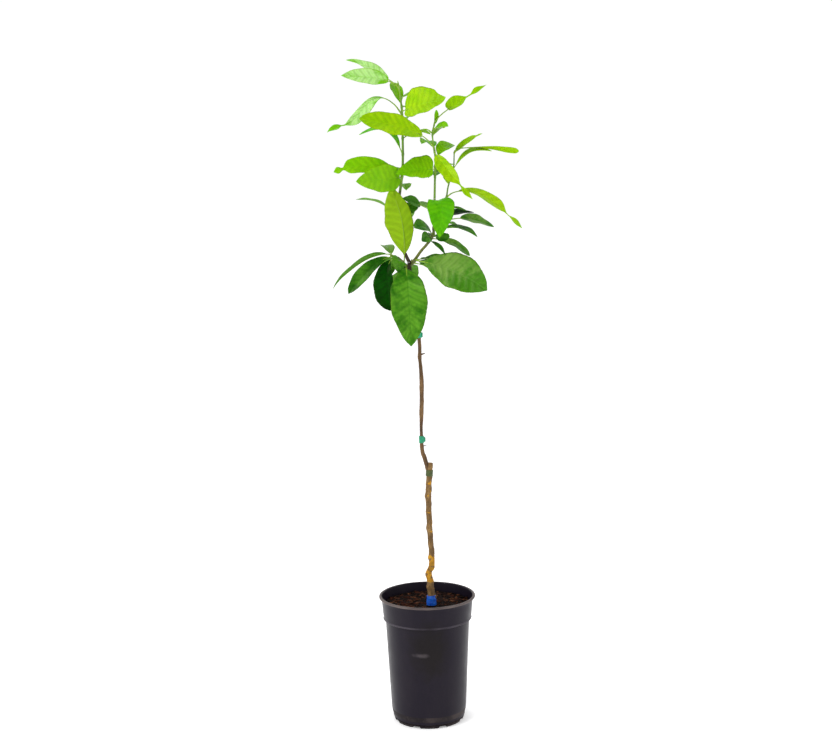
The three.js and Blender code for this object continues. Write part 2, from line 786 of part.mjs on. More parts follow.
const rootstock = new Limb(ROOTSTOCK);
const scion = new Limb(SCION);
const knots = seeded(5);
const bark = Array.from({ length: 400 }, () => 1 + BARK_SWELL * (2 * knots() - 1));
const gnarl = (i, k) => (i < 3 ? 1 : bark[(i * TRUNK_SIDES + k) % bark.length]);
const barkSkin = { step: TRUNK_STEP, sides: TRUNK_SIDES, swell: gnarl };
const lowerTrunk = tube(rootstock, 0, rootstock.length, { ...barkSkin, level: GROUND });
const upperTrunk = tube(scion, 0, scion.length, barkSkin);
const stubs = STUBS.map((stub) => stubSolid(scion, stub));
const trunk = stubs.reduce((whole, stub) => whole.add(stub), lowerTrunk.add(upperTrunk));
addPart(plant, "trunk", trunk, 0x7a5a30, 0.85);

for (const [name, { from, to, over, color, roughness }] of Object.entries(BANDS)) {
  addPart(plant, name, bandSolid([rootstock, scion], from, to, over), color, roughness);
}

const leader = new Limb(LEADER);
const rightShoot = new Limb(RIGHT_SHOOT);
addPart(plant, "bough_leader", tube(leader, 0, 73.7, { level: LEADER[0][2] }), 0x4d3326, 0.7);
addPart(plant, "bough_right", tube(rightShoot, 0, 41.7), 0x6f7a26, 0.7);

for (const placed of placeLeaves()) {
  addPart(plant, placed.mass.name, massSolid(placed), placed.mass.color, 0.45);
}

export default plant;
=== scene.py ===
"""Potted lemon tree: bark, tapes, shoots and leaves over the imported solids, with camera, light and floor.

The plant's own sizes are in millimetres, and MM turns them into metres where a mesh is made. The front
of the plant faces -Y, and +X is to the right.
"""
import math
from collections import namedtuple
from dataclasses import dataclass

import bpy
import numpy as np
from mathutils import Matrix, Vector, noise


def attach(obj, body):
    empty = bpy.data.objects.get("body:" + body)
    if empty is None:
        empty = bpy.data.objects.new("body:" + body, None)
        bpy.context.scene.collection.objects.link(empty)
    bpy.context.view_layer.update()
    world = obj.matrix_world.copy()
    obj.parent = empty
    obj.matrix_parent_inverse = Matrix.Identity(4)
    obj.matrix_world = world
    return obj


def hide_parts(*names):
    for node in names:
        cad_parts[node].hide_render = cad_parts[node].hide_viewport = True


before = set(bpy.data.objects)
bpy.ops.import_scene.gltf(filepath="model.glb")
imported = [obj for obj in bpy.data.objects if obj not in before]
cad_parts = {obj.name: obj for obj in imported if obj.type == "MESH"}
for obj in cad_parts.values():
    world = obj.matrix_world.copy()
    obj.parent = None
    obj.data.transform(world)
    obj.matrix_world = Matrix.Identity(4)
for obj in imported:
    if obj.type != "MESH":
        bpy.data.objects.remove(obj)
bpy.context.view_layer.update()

MM = 0.001
TURN = 2 * math.pi

# Camera: fitted to the pot's rim and foot and to the stem, over a frame 832 x 740 pixels
CAMERA_PLACE = (-0.012, -2.25, 0.8747)
CAMERA_PITCH = 6.826
CAMERA_ROLL = 1.052
CAMERA_LENS = 58.24
CAMERA_SENSOR = 36

# Light: the room's brightness, its dim ceiling, the lamps in watts and the lit floor's glow
ROOM_STRENGTH = 1.02
CEILING_DIRECTION = (0, -0.5, 0.866)
CEILING_SHADE = 0.12
KEY_POWER = 50
FILL_POWER = 10
FLOOR_GLOW = 0.5
FLOOR_RADIUS = 60

# Pot
POT_HEIGHT = 217
LIP_RADIUS = 82.5
LIP_DEPTH = 3.6
LIP_ROLL = 1.9
LIP_EDGE = 1.7
COLLAR_TOP_RADIUS = 78.4
COLLAR_FOOT_RADIUS = 75.4
COLLAR_FOOT = 177
BEAD_OUT = 0.5
BODY_TOP_RADIUS = 72
BODY_FOOT_RADIUS = 63.5
BODY_CURL = 2.2
BODY_CURL_HEIGHT = 7
FOOT_RADIUS = 59.5
FOOT_WIDTH = 8
FOOT_HEIGHT = 4
FOOT_BAND = 17
FOOT_TUCK = 1.1
WALL = 1.7
FLOOR_TOP = 7
BOSS_RADIUS = 14
DRAIN_COUNT = 8
DRAIN_WIDTH = 14
DRAIN_HEIGHT = 3
POT_SIDES = 192
POT_CREASE = 38
POT_SHEEN = 0.14

# Marks on the pot's front, as centre and reach in metres: a brown stain and a painted highlight
STAIN = ((0.002, -0.07, 0.14), (0.042, 0.05, 0.062))
PAINTED_HIGHLIGHT = ((-0.013, -0.069, 0.131), (0.017, 0.02, 0.005))

# Soil
SOIL_TOP = 204.7
GAP = 0.3
GROUND = SOIL_TOP + GAP
SOIL_STEP = 1.6
SOIL_SIDES = 150
SOIL_EDGE_DROP = 2.5
CHIP_COUNT = 760
CHIP_FACES = [(3, 2, 1, 0), (4, 5, 6, 7), (0, 1, 5, 4), (1, 2, 6, 5), (2, 3, 7, 6), (3, 0, 4, 7)]

# Trunk, as x, y, z and radius at each bend
ROOTSTOCK = [
    (7, -24, GROUND, 6.9), (7, -23, 223, 6.3), (5, -22, 248, 5.1),
    (4, -21, 262, 4.8), (9, -21, 281, 5.0), (6, -18, 345, 4.7),
    (5, -16, 390, 4.9), (7, -15, 427, 4.9), (9, -14, 449, 4.6),
]
SCION = [
    (7, -15, 424, 3.7), (4, -14.5, 442, 3.8), (0, -14, 457, 3.6),
    (-4, -13, 471, 3.2), (-5, -12, 508, 2.7), (-4, -11, 534, 3.5),
    (-3, -10, 588, 3.8), (-5, -9, 622, 2.9), (-6, -8, 660, 3.2),
    (-13, -6, 718, 3.1), (-19, -4, 765, 3.6), (-20, -4, 786.5, 3.4),
]
STUBS = [
    {"height": 477, "bearing": 0, "long": 8, "radius": 1.3},
    {"height": 632, "bearing": 0, "long": 9, "radius": 2.2},
]

# Heights on the trunk: the rootstock's cut top, its ochre patch, and where the scion's bark darkens
CUT_HEIGHT = 448.5
OCHRE_PATCH = (246, 292)
DARK_HEIGHT = 752

# Bands on the trunk, by the heights between which each is wound
FOOT_BAND_TOP = 222.2
GRAFT_TAPE = (426.6, 437)
TIES = {"tie_low": (483.2, 494.8), "tie_high": (660.2, 670.8)}

# Shoots, as x, y, z and radius at each bend
LEADER = [
    (-20, -4, 787, 3.0), (-28, -3, 803, 2.9), (-38, -2, 818, 2.8),
    (-39, 0, 850, 2.6), (-35, 2, 890, 2.4), (-28, 4, 945, 2.1),
    (-27, 6, 1024, 1.7), (-30, 8, 1061, 1.4), (-33, 8, 1082, 1.1),
]
RIGHT_SHOOT = [
    (-15.7, -4.4, 786, 2.5), (-9, -5, 793, 2.5), (0, -5, 805, 2.4),
    (10, -6, 816, 2.4), (18, -7, 828, 2.3), (22, -8, 843, 2.2),
    (25, -10, 925, 1.7), (26, -11, 957, 1.5), (22, -12, 994, 1.2),
    (25, -12, 1010, 1.0),
]
SIDE_SHOOT = [
    (26.4, -7.8, 879.5, 1.5), (35, -6, 883, 1.5), (43, -4, 892, 1.4),
    (47, 0, 911, 1.3), (56, 5, 940, 1.2), (58, 8, 967, 1.0),
]
LEFT_SPUR = [
    (-24, -6.8, 780.5, 2.0), (-28, -9.5, 784, 1.9), (-33, -12.5, 790, 1.8),
    (-38, -15, 794.5, 1.7), (-48, -17, 797, 1.4),
]
RIGHT_SPUR = [
    (-16.7, -8, 780.8, 1.9), (-14, -10, 784.5, 1.7), (-9, -12, 790, 1.4),
]
BACK_SPUR = [
    (-19.4, 0.6, 779, 1.9), (-18, 7, 783, 1.7), (-16, 12, 789, 1.4),
]
STEPS_PER_BEND = 12

# The shoots' bare feet, in mm from the fork up to the first mass
LEADER_BARE = 74
RIGHT_BARE = 42

# Blades and stalks
LEAF_LENGTHWISE = 56
LEAF_ACROSS = 20
LEAF_THICKNESS = 0.45
LEAF_ENDS = 0.012
LEAF_TEETH = 15
TOOTH_DEPTH = 0.02
RIB_STEP = 0.004
STALK_RADIUS = 1.15

# Far side: leaves turned by the golden angle within a spread, left out where they come too near a midrib
GOLDEN_ANGLE = 137.5
FAR_SPREAD = 84
FAR_CLEARANCE = 12

# Leaf tones, in sRGB: the upper side, the patches on it and the underside, with how strongly the patches
# keep to the blade's middle and how glossy the upper side is
TONES = {
    "lime": ((134, 184, 2), (156, 197, 8), (156, 196, 30), 0.02, 0.1),
    "bright": ((112, 178, 4), (132, 190, 10), (132, 184, 24), 0.02, 0.1),
    "fresh": ((78, 164, 4), (104, 182, 12), (118, 176, 40), 0.02, 0.12),
    "olive": ((114, 160, 6), (150, 186, 48), (132, 170, 24), 0.03, 0.16),
    # The pale tone's whitish patches are a painted sheen on the blade's middle.
    "pale": ((112, 184, 6), (182, 226, 140), (158, 206, 90), 0.08, 0.1),
    "leafy": ((34, 98, 6), (90, 150, 34), (104, 152, 60), 0.035, 0.24),
    # The sage tone's greyish patches are a painted grey sheen.
    "sage": ((60, 120, 16), (110, 148, 60), (140, 174, 90), 0.035, 0.24),
    "deep": ((26, 84, 6), (68, 126, 26), (78, 130, 34), 0.03, 0.16),
    "dark": ((1, 42, 1), (5, 64, 3), (36, 90, 22), 0, 0.08),
}


@dataclass
class Leaf:
    """A leaf. Lengths are in mm and angles in degrees, and the rest are shares of its length or width.

    along is its place on the shoot, and bearing and rise point its chord. arch, highest at peak, recurve,
    curl and sway bend its midrib, about which roll and twist turn its blade. stalk is the part without a
    blade. widest and blunt shape the blade, lean makes its halves uneven and fold lifts them. waist is
    how far it narrows at neck, before its tail.
    """
    along: float
    bearing: float
    rise: float
    long: float
    wide: float
    tone: str
    arch: float = 0.1
    peak: float = 0.5
    recurve: float = 0
    curl: float = 0
    sway: float = 0
    roll: float = 0
    twist: float = 0
    stalk: float = 0.1
    widest: float = 0.42
    blunt: float = 1.65
    lean: float = 0
    fold: float = 12
    waist: float = 0
    neck: float = 0.8
    root: Vector = None

    def axes(self):
        """Its chord, its upward axis and its right-hand axis."""
        turn = math.radians(self.bearing)
        tilt = math.radians(self.rise)
        level = Vector((*around(1, turn), 0))
        chord = level * math.cos(tilt) + Vector((0, 0, math.sin(tilt)))
        up = level * -math.sin(tilt) + Vector((0, 0, math.cos(tilt)))
        return chord, up, chord.cross(up)

    def rib(self, share):
        """The point of its midrib at a share of the way from its root to its tip."""
        chord, up, side = self.axes()
        bow = math.sin(math.pi * share ** (math.log(0.5) / math.log(self.peak)))
        tip = max(0, share - 0.8) / 0.2
        lift = self.arch * bow + self.recurve * math.sin(TURN * share) + self.curl * tip ** 2
        return self.root + (chord * share + up * lift + side * self.sway * bow) * self.long

    def ribs(self):
        """Points along its midrib, from which other leaves keep their distance."""
        return [self.rib(share) for share in (0.3, 0.4, 0.5, 0.6, 0.7, 0.8, 0.9, 1)]

    def facing(self, share, within):
        """The way its midrib runs at a share of the leaf, and its normal at a share of the blade."""
        along = (self.rib(share + RIB_STEP) - self.rib(share - RIB_STEP)).normalized()
        up = self.axes()[1]
        lift = (up - along * up.dot(along)).normalized()
        roll = math.radians(self.roll + self.twist * (within - 0.4))
        return along, lift * math.cos(roll) + along.cross(lift) * math.sin(roll)

    def width(self, share):
        """Its width at a share of the blade's length, as a part of its full width."""
        rising = (share / self.widest) ** (self.blunt * self.widest)
        falling = ((1 - share) / (1 - self.widest)) ** (self.blunt * (1 - self.widest))
        pinch = self.waist * math.exp(-((share - self.neck) / (0.35 * (1 - self.neck))) ** 2)
        tail_middle = 0.45 * self.neck + 0.55
        tail = 0.12 * self.waist * math.exp(-((share - tail_middle) / (0.28 * (1 - self.neck))) ** 2)
        return rising * falling * (1 - pinch) + tail


# A mass of leaves: its own leaves, its stretch of a shoot in mm from the foot, and what fills its far side,
# as how many leaves, from where to where, and about which bearing, rise and length
Mass = namedtuple("Mass", "name leaves shoot start end slot tone seed far")
Far = namedtuple("Far", "count start end bearing rise long")

LEADER_TOP_LEAVES = [
    Leaf(289, -158, 12, 104, 32, "pale", peak=0.3, roll=-62, stalk=0.2),
    Leaf(296, 165, 27, 102, 30, "pale", arch=0.06, peak=0.6, roll=-24, stalk=0.2),
    Leaf(262, 110, 46, 60, 22, "bright", arch=0.05, widest=0.6),
    Leaf(248, -150, -4, 142, 24, "pale", arch=0.11, peak=0.2, recurve=0.11, curl=-0.15, sway=0.08,
         roll=-35, twist=-40, stalk=0.14, widest=0.45, blunt=1.8, lean=-0.4, waist=0.95, neck=0.73),
    Leaf(254, -28, 10, 84, 52, "lime", arch=0.02, curl=0.06, sway=0.1, roll=68, stalk=0.08, widest=0.34,
         blunt=1.2, lean=-0.25, fold=8),
]
LEADER_MIDDLE_LEAVES = [
    Leaf(183, 160, 24, 86, 30, "fresh", arch=0.3, roll=-12, twist=-30, widest=0.5),
    Leaf(156, -175, 0, 115, 33, "bright", arch=0.09, peak=0.55, roll=-62, widest=0.5, waist=0.74,
         neck=0.84),
    Leaf(146, -138, -4, 100, 47, "bright", arch=0, roll=-86, stalk=0.03, widest=0.35, blunt=1.35,
         lean=0.05, fold=8),
]
LEADER_FOOT_LEAVES = [
    Leaf(94, 18, 2, 36, 27, "deep", arch=-0.04, roll=45, widest=0.4, blunt=1.8),
    Leaf(84, 164, 20, 78, 20, "leafy", arch=0.12, roll=10),
]
RIGHT_TOP_LEAVES = [
    Leaf(238, 15, 36, 113, 27, "lime", arch=0.06, peak=0.25, roll=42, stalk=0.3, widest=0.24, lean=-0.2,
         waist=0.95, neck=0.55),
    Leaf(236, 40, 78, 28, 8, "bright", arch=-0.08, roll=70, widest=0.6),
    Leaf(231, -52, 4, 40, 18, "bright", roll=40),
    Leaf(224, -156, 28, 18, 5, "bright"),
]
RIGHT_MIDDLE_LEAVES = [
    Leaf(195, -160, 22, 140, 42, "lime", arch=0.12, peak=0.33, roll=-62, stalk=0.2, widest=0.5, blunt=1.4,
         fold=10),
    Leaf(166, 180, -6, 66, 44, "bright", arch=0.05, roll=-60, stalk=0.04, widest=0.25, blunt=1.2,
         lean=0.1),
    Leaf(193, -47, -42, 117, 24, "lime", arch=0.04, sway=0.08, roll=46, twist=-18, stalk=0.05, widest=0.37,
         lean=0.2, waist=0.83, neck=0.72),
    Leaf(178, 48, 29, 58, 25, "bright", arch=0.18, roll=28, stalk=0.2, widest=0.5, blunt=1.75, lean=-0.1),
]
RIGHT_FOOT_LEAVES = [
    Leaf(108, -84, -44, 78, 46, "fresh", arch=0.38, peak=0.38, sway=-0.06, widest=0.4),
    Leaf(97, -150, 20, 65, 26, "deep", arch=0.02, peak=0.6, roll=-48, stalk=0.45, widest=0.35),
    Leaf(58, -132, 15, 48, 30, "leafy", arch=0.17, roll=-44, widest=0.5),
    Leaf(53, -110, -6, 48, 21, "leafy", arch=0.11, roll=-56, widest=0.5, lean=-0.15),
    Leaf(57, -52, -14, 36, 23, "deep", arch=0.11, roll=28, widest=0.75, blunt=1.55),
    Leaf(76, 12, -4, 104, 28, "sage", arch=0.12, roll=35, stalk=0.42),
    Leaf(83, 30, 8, 80, 18, "dark", arch=0.07, roll=32),
    Leaf(68, -28, -10, 82, 27, "deep", arch=0.12, peak=0.55, roll=8, widest=0.47),
    Leaf(51, 4, -25, 72, 23, "sage", arch=0.12, roll=36, widest=0.6, lean=0.2),
    Leaf(48, -45, -34, 42, 15, "deep", arch=0.08, sway=0.04),
]
SIDE_LEAVES = [
    Leaf(22, -4, -23, 137, 31, "lime", arch=0.19, peak=0.35, sway=0.06, roll=30, twist=22, widest=0.4,
         waist=0.92, neck=0.74),
    Leaf(99, -14, 32, 57, 15, "lime", arch=0.06, roll=50, stalk=0.05, widest=0.34, waist=0.5),
    Leaf(72, 7, 23, 72, 19, "lime", arch=0.2, sway=0.02, roll=22, stalk=0.07, widest=0.55),
    Leaf(98, 11, 1, 112, 11, "lime", arch=0.08, peak=0.25, sway=0.03, roll=38, twist=90, widest=0.8,
         blunt=1.8),
]
FORK_LEFT_LEAVES = [
    Leaf(26, -169, -23, 118, 27, "deep", arch=0.15, peak=0.35, curl=-0.04, roll=22),
    Leaf(24, -156, -33, 105, 24, "deep", arch=0.12, peak=0.35, roll=-56, widest=0.56, lean=0.2),
    Leaf(22, -110, -66, 94, 35, "dark", arch=0.27, peak=0.33, sway=0.06, roll=-15, widest=0.6, blunt=1.75,
         lean=0.35),
    Leaf(34, 110, 17, 55, 23, "sage", arch=0.15, widest=0.44, blunt=1.9),
    Leaf(12, -103, -41, 29, 28, "leafy", arch=0.45, sway=0.04, roll=-33, widest=0.38, blunt=1.4),
    Leaf(7, 172, 81, 128, 49, "olive", arch=0.08, sway=-0.06, roll=88, stalk=0.12, widest=0.5, lean=0.25),
    Leaf(3, -84.5, -60, 150, 62, "leafy", arch=0.16, peak=0.35, sway=0.01, widest=0.46, fold=8),
]
FORK_RIGHT_LEAVES = [
    Leaf(14, -26, -21, 138, 63, "sage", arch=0.06, sway=-0.02, roll=66, widest=0.52, blunt=1.85),
]

MASSES = [
    Mass("leaves_leader_top", LEADER_TOP_LEAVES, LEADER,
         200, 302, "young_leaves", "bright", 25, Far(4, 205, 296, 60, 0, 64)),
    Mass("leaves_leader_middle", LEADER_MIDDLE_LEAVES, LEADER,
         124, 200 - GAP, "mid_leaves", "fresh", 34, Far(3, 132, 168, 90, -10, 72)),
    Mass("leaves_leader_foot", LEADER_FOOT_LEAVES, LEADER,
         LEADER_BARE, 124 - GAP, "old_leaves", "leafy", 40, Far(3, 78, 120, 75, -10, 80)),
    Mass("leaves_right_top", RIGHT_TOP_LEAVES, RIGHT_SHOOT,
         205, 240, "young_leaves", "lime", 43, Far(1, 208, 222, 60, 20, 44)),
    Mass("leaves_right_middle", RIGHT_MIDDLE_LEAVES, RIGHT_SHOOT,
         118, 205 - GAP, "mid_leaves", "fresh", 54, Far(3, 130, 200, 75, 10, 64)),
    Mass("leaves_right_foot", RIGHT_FOOT_LEAVES, RIGHT_SHOOT,
         RIGHT_BARE, 118 - GAP, "old_leaves", "deep", 68, Far(4, 48, 114, 45, 0, 64)),
    Mass("leaves_side_shoot", SIDE_LEAVES, SIDE_SHOOT,
         0, 101, "young_leaves", "lime", 78, Far(1, 30, 90, 60, -20, 44)),
    Mass("leaves_fork_left", FORK_LEFT_LEAVES, LEFT_SPUR,
         0, 36, "old_leaves", "deep", 84, Far(1, 26, 34, 145, -38, 80)),
    Mass("leaves_fork_back", [], BACK_SPUR,
         0, 15, "old_leaves", "deep", 44, Far(3, 5, 14, 124, -44, 92)),
    Mass("leaves_fork_right", FORK_RIGHT_LEAVES, RIGHT_SPUR,
         0, 18, "old_leaves", "deep", 102, Far(3, 6, 18, 30, -22, 90)),
]


def seeded(seed):
    """A repeatable row of numbers from 0 to 1."""
    state = seed * 7919

    def step():
        nonlocal state
        state = (state * 16807) % 2147483647
        return state / 2147483647

    return step


def between(low, high, share):
    """The value at a share of the way from low to high."""
    return low + (high - low) * share


def steps(start, end, count):
    """Even steps from start to end, with both."""
    return [start + (end - start) * i / count for i in range(count + 1)]


def around(reach, angle):
    """The x and y at a distance from an axis, by the angle round it."""
    return reach * math.cos(angle), reach * math.sin(angle)


def linear(srgb):
    """A colour given as 0 to 255 in sRGB, as the shader's own linear values."""
    shares = [value / 255 for value in srgb]
    return (*(part / 12.92 if part <= 0.04045 else ((part + 0.055) / 1.055) ** 2.4 for part in shares), 1)


def shade(colour, factor, lift=0.0):
    """A linear colour made darker or lighter."""
    return (*(min(1, value * factor + lift) for value in colour[:3]), 1)


# Limbs

def passed(row, value):
    """The number of a row's first entry that reaches a value, and the value's share of the last step."""
    i = 1
    while i < len(row) - 1 and row[i] < value:
        i += 1
    return i, (value - row[i - 1]) / (row[i] - row[i - 1])


class Limb:
    """A limb's centre line through its bends, measured in millimetres from its foot."""

    def __init__(self, bends):
        places = [Vector(bend[:3]) for bend in bends]
        row = [places[0] * 2 - places[1], *places, places[-1] * 2 - places[-2]]
        self.points = []
        self.radii = []
        for i in range(len(places) - 1):
            for share in steps(0, 1, STEPS_PER_BEND)[:-1]:
                self.points.append(self.bend(row[i:i + 4], share))
                self.radii.append(between(bends[i][3], bends[i + 1][3], share))
        self.points.append(places[-1])
        self.radii.append(bends[-1][3])
        self.marks = [0]
        for before, after in zip(self.points, self.points[1:]):
            self.marks.append(self.marks[-1] + (after - before).length)
        self.length = self.marks[-1]

    @staticmethod
    def bend(four, share):
        """The point at a share between the two middle ones of four points, on a smooth curve."""
        before, start, end, after = four
        out = (end - before) * 0.5
        into = (after - start) * 0.5
        square = (end - start) * 3 - out * 2 - into
        cube = (start - end) * 2 + out + into
        return start + out * share + square * share ** 2 + cube * share ** 3

    def at(self, distance):
        """The centre and radius at a distance from the foot."""
        i, share = passed(self.marks, distance)
        share = min(max(share, 0), 1)
        point = self.points[i - 1].lerp(self.points[i], share)
        return point, between(self.radii[i - 1], self.radii[i], share)

    def reach(self, height):
        """The distance from the foot at which the limb reaches a height."""
        i, share = passed([point.z for point in self.points], height)
        return between(self.marks[i - 1], self.marks[i], share)


# Meshes

def add_object(name, data):
    """Adds an object with its data to the scene."""
    added = bpy.data.objects.new(name, data)
    bpy.context.scene.collection.objects.link(added)
    return added


class Sheet:
    """Points, faces and what belongs to each, gathered from many small shapes into one mesh."""

    def __init__(self):
        self.points = []
        self.faces = []
        self.slots = []
        self.marks = []

    def add(self, points, faces, slots=0, marks=None):
        """Adds a shape: points in mm, faces, a slot for all or for each face, and a mark for each point."""
        start = len(self.points)
        self.points.extend(points)
        self.faces.extend([tuple(start + corner for corner in face) for face in faces])
        self.slots.extend(slots if isinstance(slots, list) else [slots] * len(faces))
        self.marks.extend(marks or [0.0] * len(points))

    def make(self, name, materials, node, mark=None, crease=None):
        """Makes the piece, which rides on the root and stands for a node.

        mark names what it keeps at each point. Edges that bend by more than crease degrees are sharp.
        """
        mesh = bpy.data.meshes.new(name)
        mesh.from_pydata([(x * MM, y * MM, z * MM) for x, y, z in self.points], [], self.faces)
        for material in materials:
            mesh.materials.append(material)
        mesh.polygons.foreach_set("material_index", self.slots)
        mesh.polygons.foreach_set("use_smooth", [True] * len(self.faces))
        if crease:
            mesh.update()
            mesh.set_sharp_from_angle(angle=math.radians(crease))
        if mark:
            values = np.array(self.marks, np.float32)
            kind, field = ("FLOAT", "value") if values.ndim == 1 else ("FLOAT_VECTOR", "vector")
            mesh.attributes.new(mark, kind, "POINT").data.foreach_set(field, values.ravel())
        mesh.update()
        piece = add_object(name, mesh)
        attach(piece, "root")
        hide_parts(node)


def ring(centre, along, across, sides, reach):
    """Points round a centre, square to a direction. reach gives each one's distance by its angle."""
    other = along.cross(across)
    points = []
    for angle in steps(0, TURN, sides)[:-1]:
        flat = across * math.cos(angle) + other * math.sin(angle)
        points.append((centre + flat * reach(angle)).to_tuple())
    return points


def ring_faces(rings, sides, closed=False):
    """The faces between rings of points. The last ring joins the first, or a face closes each of them."""
    faces = []
    for i in range(rings if closed else rings - 1):
        here, there = i * sides, (i + 1) % rings * sides
        for k in range(sides):
            right = (k + 1) % sides
            faces.append((here + k, here + right, there + right, there + k))
    if not closed:
        faces.append(tuple(range(sides - 1, -1, -1)))
        faces.append(tuple((rings - 1) * sides + k for k in range(sides)))
    return faces


def tube(limb, start, end, step, sides, radius=None, level=None):
    """Rings round a limb between two distances, and their faces.

    radius gives the reach by distance, angle and the limb's own radius. level is the height of a flat foot.
    """
    radius = radius or (lambda distance, angle, own: own)
    count = max(2, math.ceil((end - start) / step))
    distances = steps(start, end, count)
    places = [limb.at(distance) for distance in distances]
    points = []
    across = Vector((1, 0, 0))
    for i, (centre, own) in enumerate(places):
        along = (places[min(i + 1, count)][0] - places[max(i - 1, 0)][0]).normalized()
        across = (across - along * across.dot(along)).normalized()
        points += ring(centre, along, across, sides, lambda angle: radius(distances[i], angle, own))
    if level is not None:
        points[:sides] = [(x, y, level) for x, y, _ in points[:sides]]
    return points, ring_faces(count + 1, sides)


# Leaves

def far_leaves(mass):
    """The far leaves of a mass, set by its seed within the stretch, the bearing and the rise it names."""
    random = seeded(mass.seed)
    far = mass.far

    def about(middle, spread):
        return middle + spread * (2 * random() - 1)

    leaves = []
    for i in range(far.count):
        bearing = far.bearing + (mass.seed + i * GOLDEN_ANGLE) % FAR_SPREAD - FAR_SPREAD / 2
        long = about(far.long, 12)
        along = far.start + (far.end - far.start) * (i + random()) / far.count
        rise = about(far.rise, 8)
        wide = long * about(0.42, 0.04)
        arch = about(0.12, 0.04)
        roll = about(0, 12)
        leaves.append(Leaf(along, bearing, rise, long, wide, mass.tone, arch, roll=roll))
    return leaves


def place_leaves():
    """Each mass with its shoot and its leaves: its own, then the far ones that find room."""
    placed = [(mass, Limb(mass.shoot), list(mass.leaves)) for mass in MASSES]
    taken = []
    for _, limb, leaves in placed:
        for leaf in leaves:
            leaf.root = limb.at(leaf.along)[0]
            taken.extend(leaf.ribs())
    for mass, limb, leaves in placed:
        for leaf in far_leaves(mass):
            leaf.root = limb.at(leaf.along)[0]
            ribs = leaf.ribs()
            if all((point - rib).length > FAR_CLEARANCE for rib in ribs for point in taken):
                leaves.append(leaf)
                taken.extend(ribs)
    return placed


def blade_row(leaf, share, veins, phase, ripple, waves):
    """One row across a blade: its upper points, its lower ones and their marks.

    The blade is folded at its midrib, puckered between its side veins and wavy at its margin. A mark is the
    count of side veins, the distance from the midrib in mm and the share of the half width.
    """
    across_shares = np.linspace(-1, 1, LEAF_ACROSS + 1)
    reach = np.abs(across_shares)
    side = np.sign(across_shares)
    place = leaf.stalk + (1 - leaf.stalk) * share
    along, normal = leaf.facing(place, share)
    fold = math.radians(leaf.fold)
    hump = math.sin(math.pi * share)
    tooth = 1 - TOOTH_DEPTH * ((share * LEAF_TEETH + phase) % 1) * min(1, 6 * share)
    point = min(1, (1 - share) / 0.06) ** 0.5
    bulge = 1 + 0.025 * np.sin(TURN * (3.3 * share + phase + 0.3 * side))
    half = max(0.35 + 1.4 * hump, leaf.wide / 2 * leaf.width(share) * tooth * point)
    half = half * (1 + leaf.lean * side) * bulge
    count = (share - 0.17 * reach * (1 - 0.3 * reach)) * veins + 2
    body = np.clip(reach * half / 2.5, 0, 1) * np.clip((1 - reach) * 3, 0, 1) * hump
    pucker = leaf.wide * 0.011 * np.sin(np.pi * count) ** 2 * body
    furrow = 0.4 * np.exp(-(reach * half / 1.1) ** 2) * min(1, 8 * (1 - share))
    margin = ripple * reach ** 3 * np.sin(TURN * (waves * share + phase + 0.35 * side)) * hump ** 0.6
    height = reach ** 1.3 * half * math.sin(fold) + margin + pucker - furrow
    sideways = across_shares * half * math.cos(fold)
    thick = LEAF_THICKNESS * np.sqrt(np.clip(1 - reach ** 6, 0, 1)) + 0.25 * furrow
    upper = np.array(leaf.rib(place)) + np.outer(sideways, along.cross(normal)) + np.outer(height, normal)
    return upper, upper - np.outer(thick, normal), np.stack([count, reach * half, reach], 1)


def blade_faces():
    """The faces of a blade's two sides, which share its margins, by turns, then those of its two ends."""
    rows, columns = LEAF_LENGTHWISE, LEAF_ACROSS
    first_under = (rows + 1) * (columns + 1)

    def over(i, j):
        return i * (columns + 1) + j

    def below(i, j):
        return over(i, j) if j in (0, columns) else first_under + i * (columns - 1) + j - 1

    faces = []
    for i in range(rows):
        for j in range(columns):
            faces.append((over(i, j), over(i, j + 1), over(i + 1, j + 1), over(i + 1, j)))
            faces.append((below(i, j), below(i + 1, j), below(i + 1, j + 1), below(i, j + 1)))
    for i in (0, rows):
        rim = [over(i, j) for j in range(columns + 1)] + [below(i, j) for j in range(columns - 1, 0, -1)]
        faces.append(tuple(rim if i else reversed(rim)))
    return faces


def add_blade(sheet, leaf, seed, top_slot):
    """Adds one blade, whose underside takes the slot after its upper side's."""
    random = seeded(seed)
    veins = 7 + 3 * random()
    phase = random()
    ripple = leaf.wide * (0.012 + 0.022 * random())
    waves = 1.4 + 1.4 * random()
    shares = [min(max(share, LEAF_ENDS), 1 - LEAF_ENDS) for share in steps(0, 1, LEAF_LENGTHWISE)]
    rows = [blade_row(leaf, share, veins, phase, ripple, waves) for share in shares]
    upper, lower, marks = (np.array(part) for part in zip(*rows))
    points = np.vstack([*upper, *lower[:, 1:-1]])
    faces = blade_faces()
    slots = [top_slot, top_slot + 1] * (len(faces) // 2 - 1) + [top_slot + 1] * 2
    sheet.add(points.tolist(), faces, slots, np.vstack([*marks, *marks[:, 1:-1]]).tolist())


def add_stalk(sheet, leaf, slot):
    """Adds a leaf's stalk, swollen at the shoot, which runs on under the blade as its midrib."""
    slender = min(1, 0.55 + leaf.long / 250) * STALK_RADIUS
    bends = []
    for share in steps(0, leaf.stalk + (1 - leaf.stalk) * 0.82, 22):
        place = leaf.rib(share)
        if share > leaf.stalk:
            within = (share - leaf.stalk) / (1 - leaf.stalk)
            own = slender * (0.75 - 0.62 * within)
            place = place - leaf.facing(share, within)[1] * min(own + 0.4, within * 8)
        else:
            swelling = 0.35 * math.exp(-(share * leaf.long / 4) ** 2)
            own = slender * (1 - 0.25 * share / leaf.stalk + swelling)
        bends.append((*place, own))
    stalk = Limb(bends)
    sheet.add(*tube(stalk, 0, stalk.length, leaf.long / 46, 8), slot)


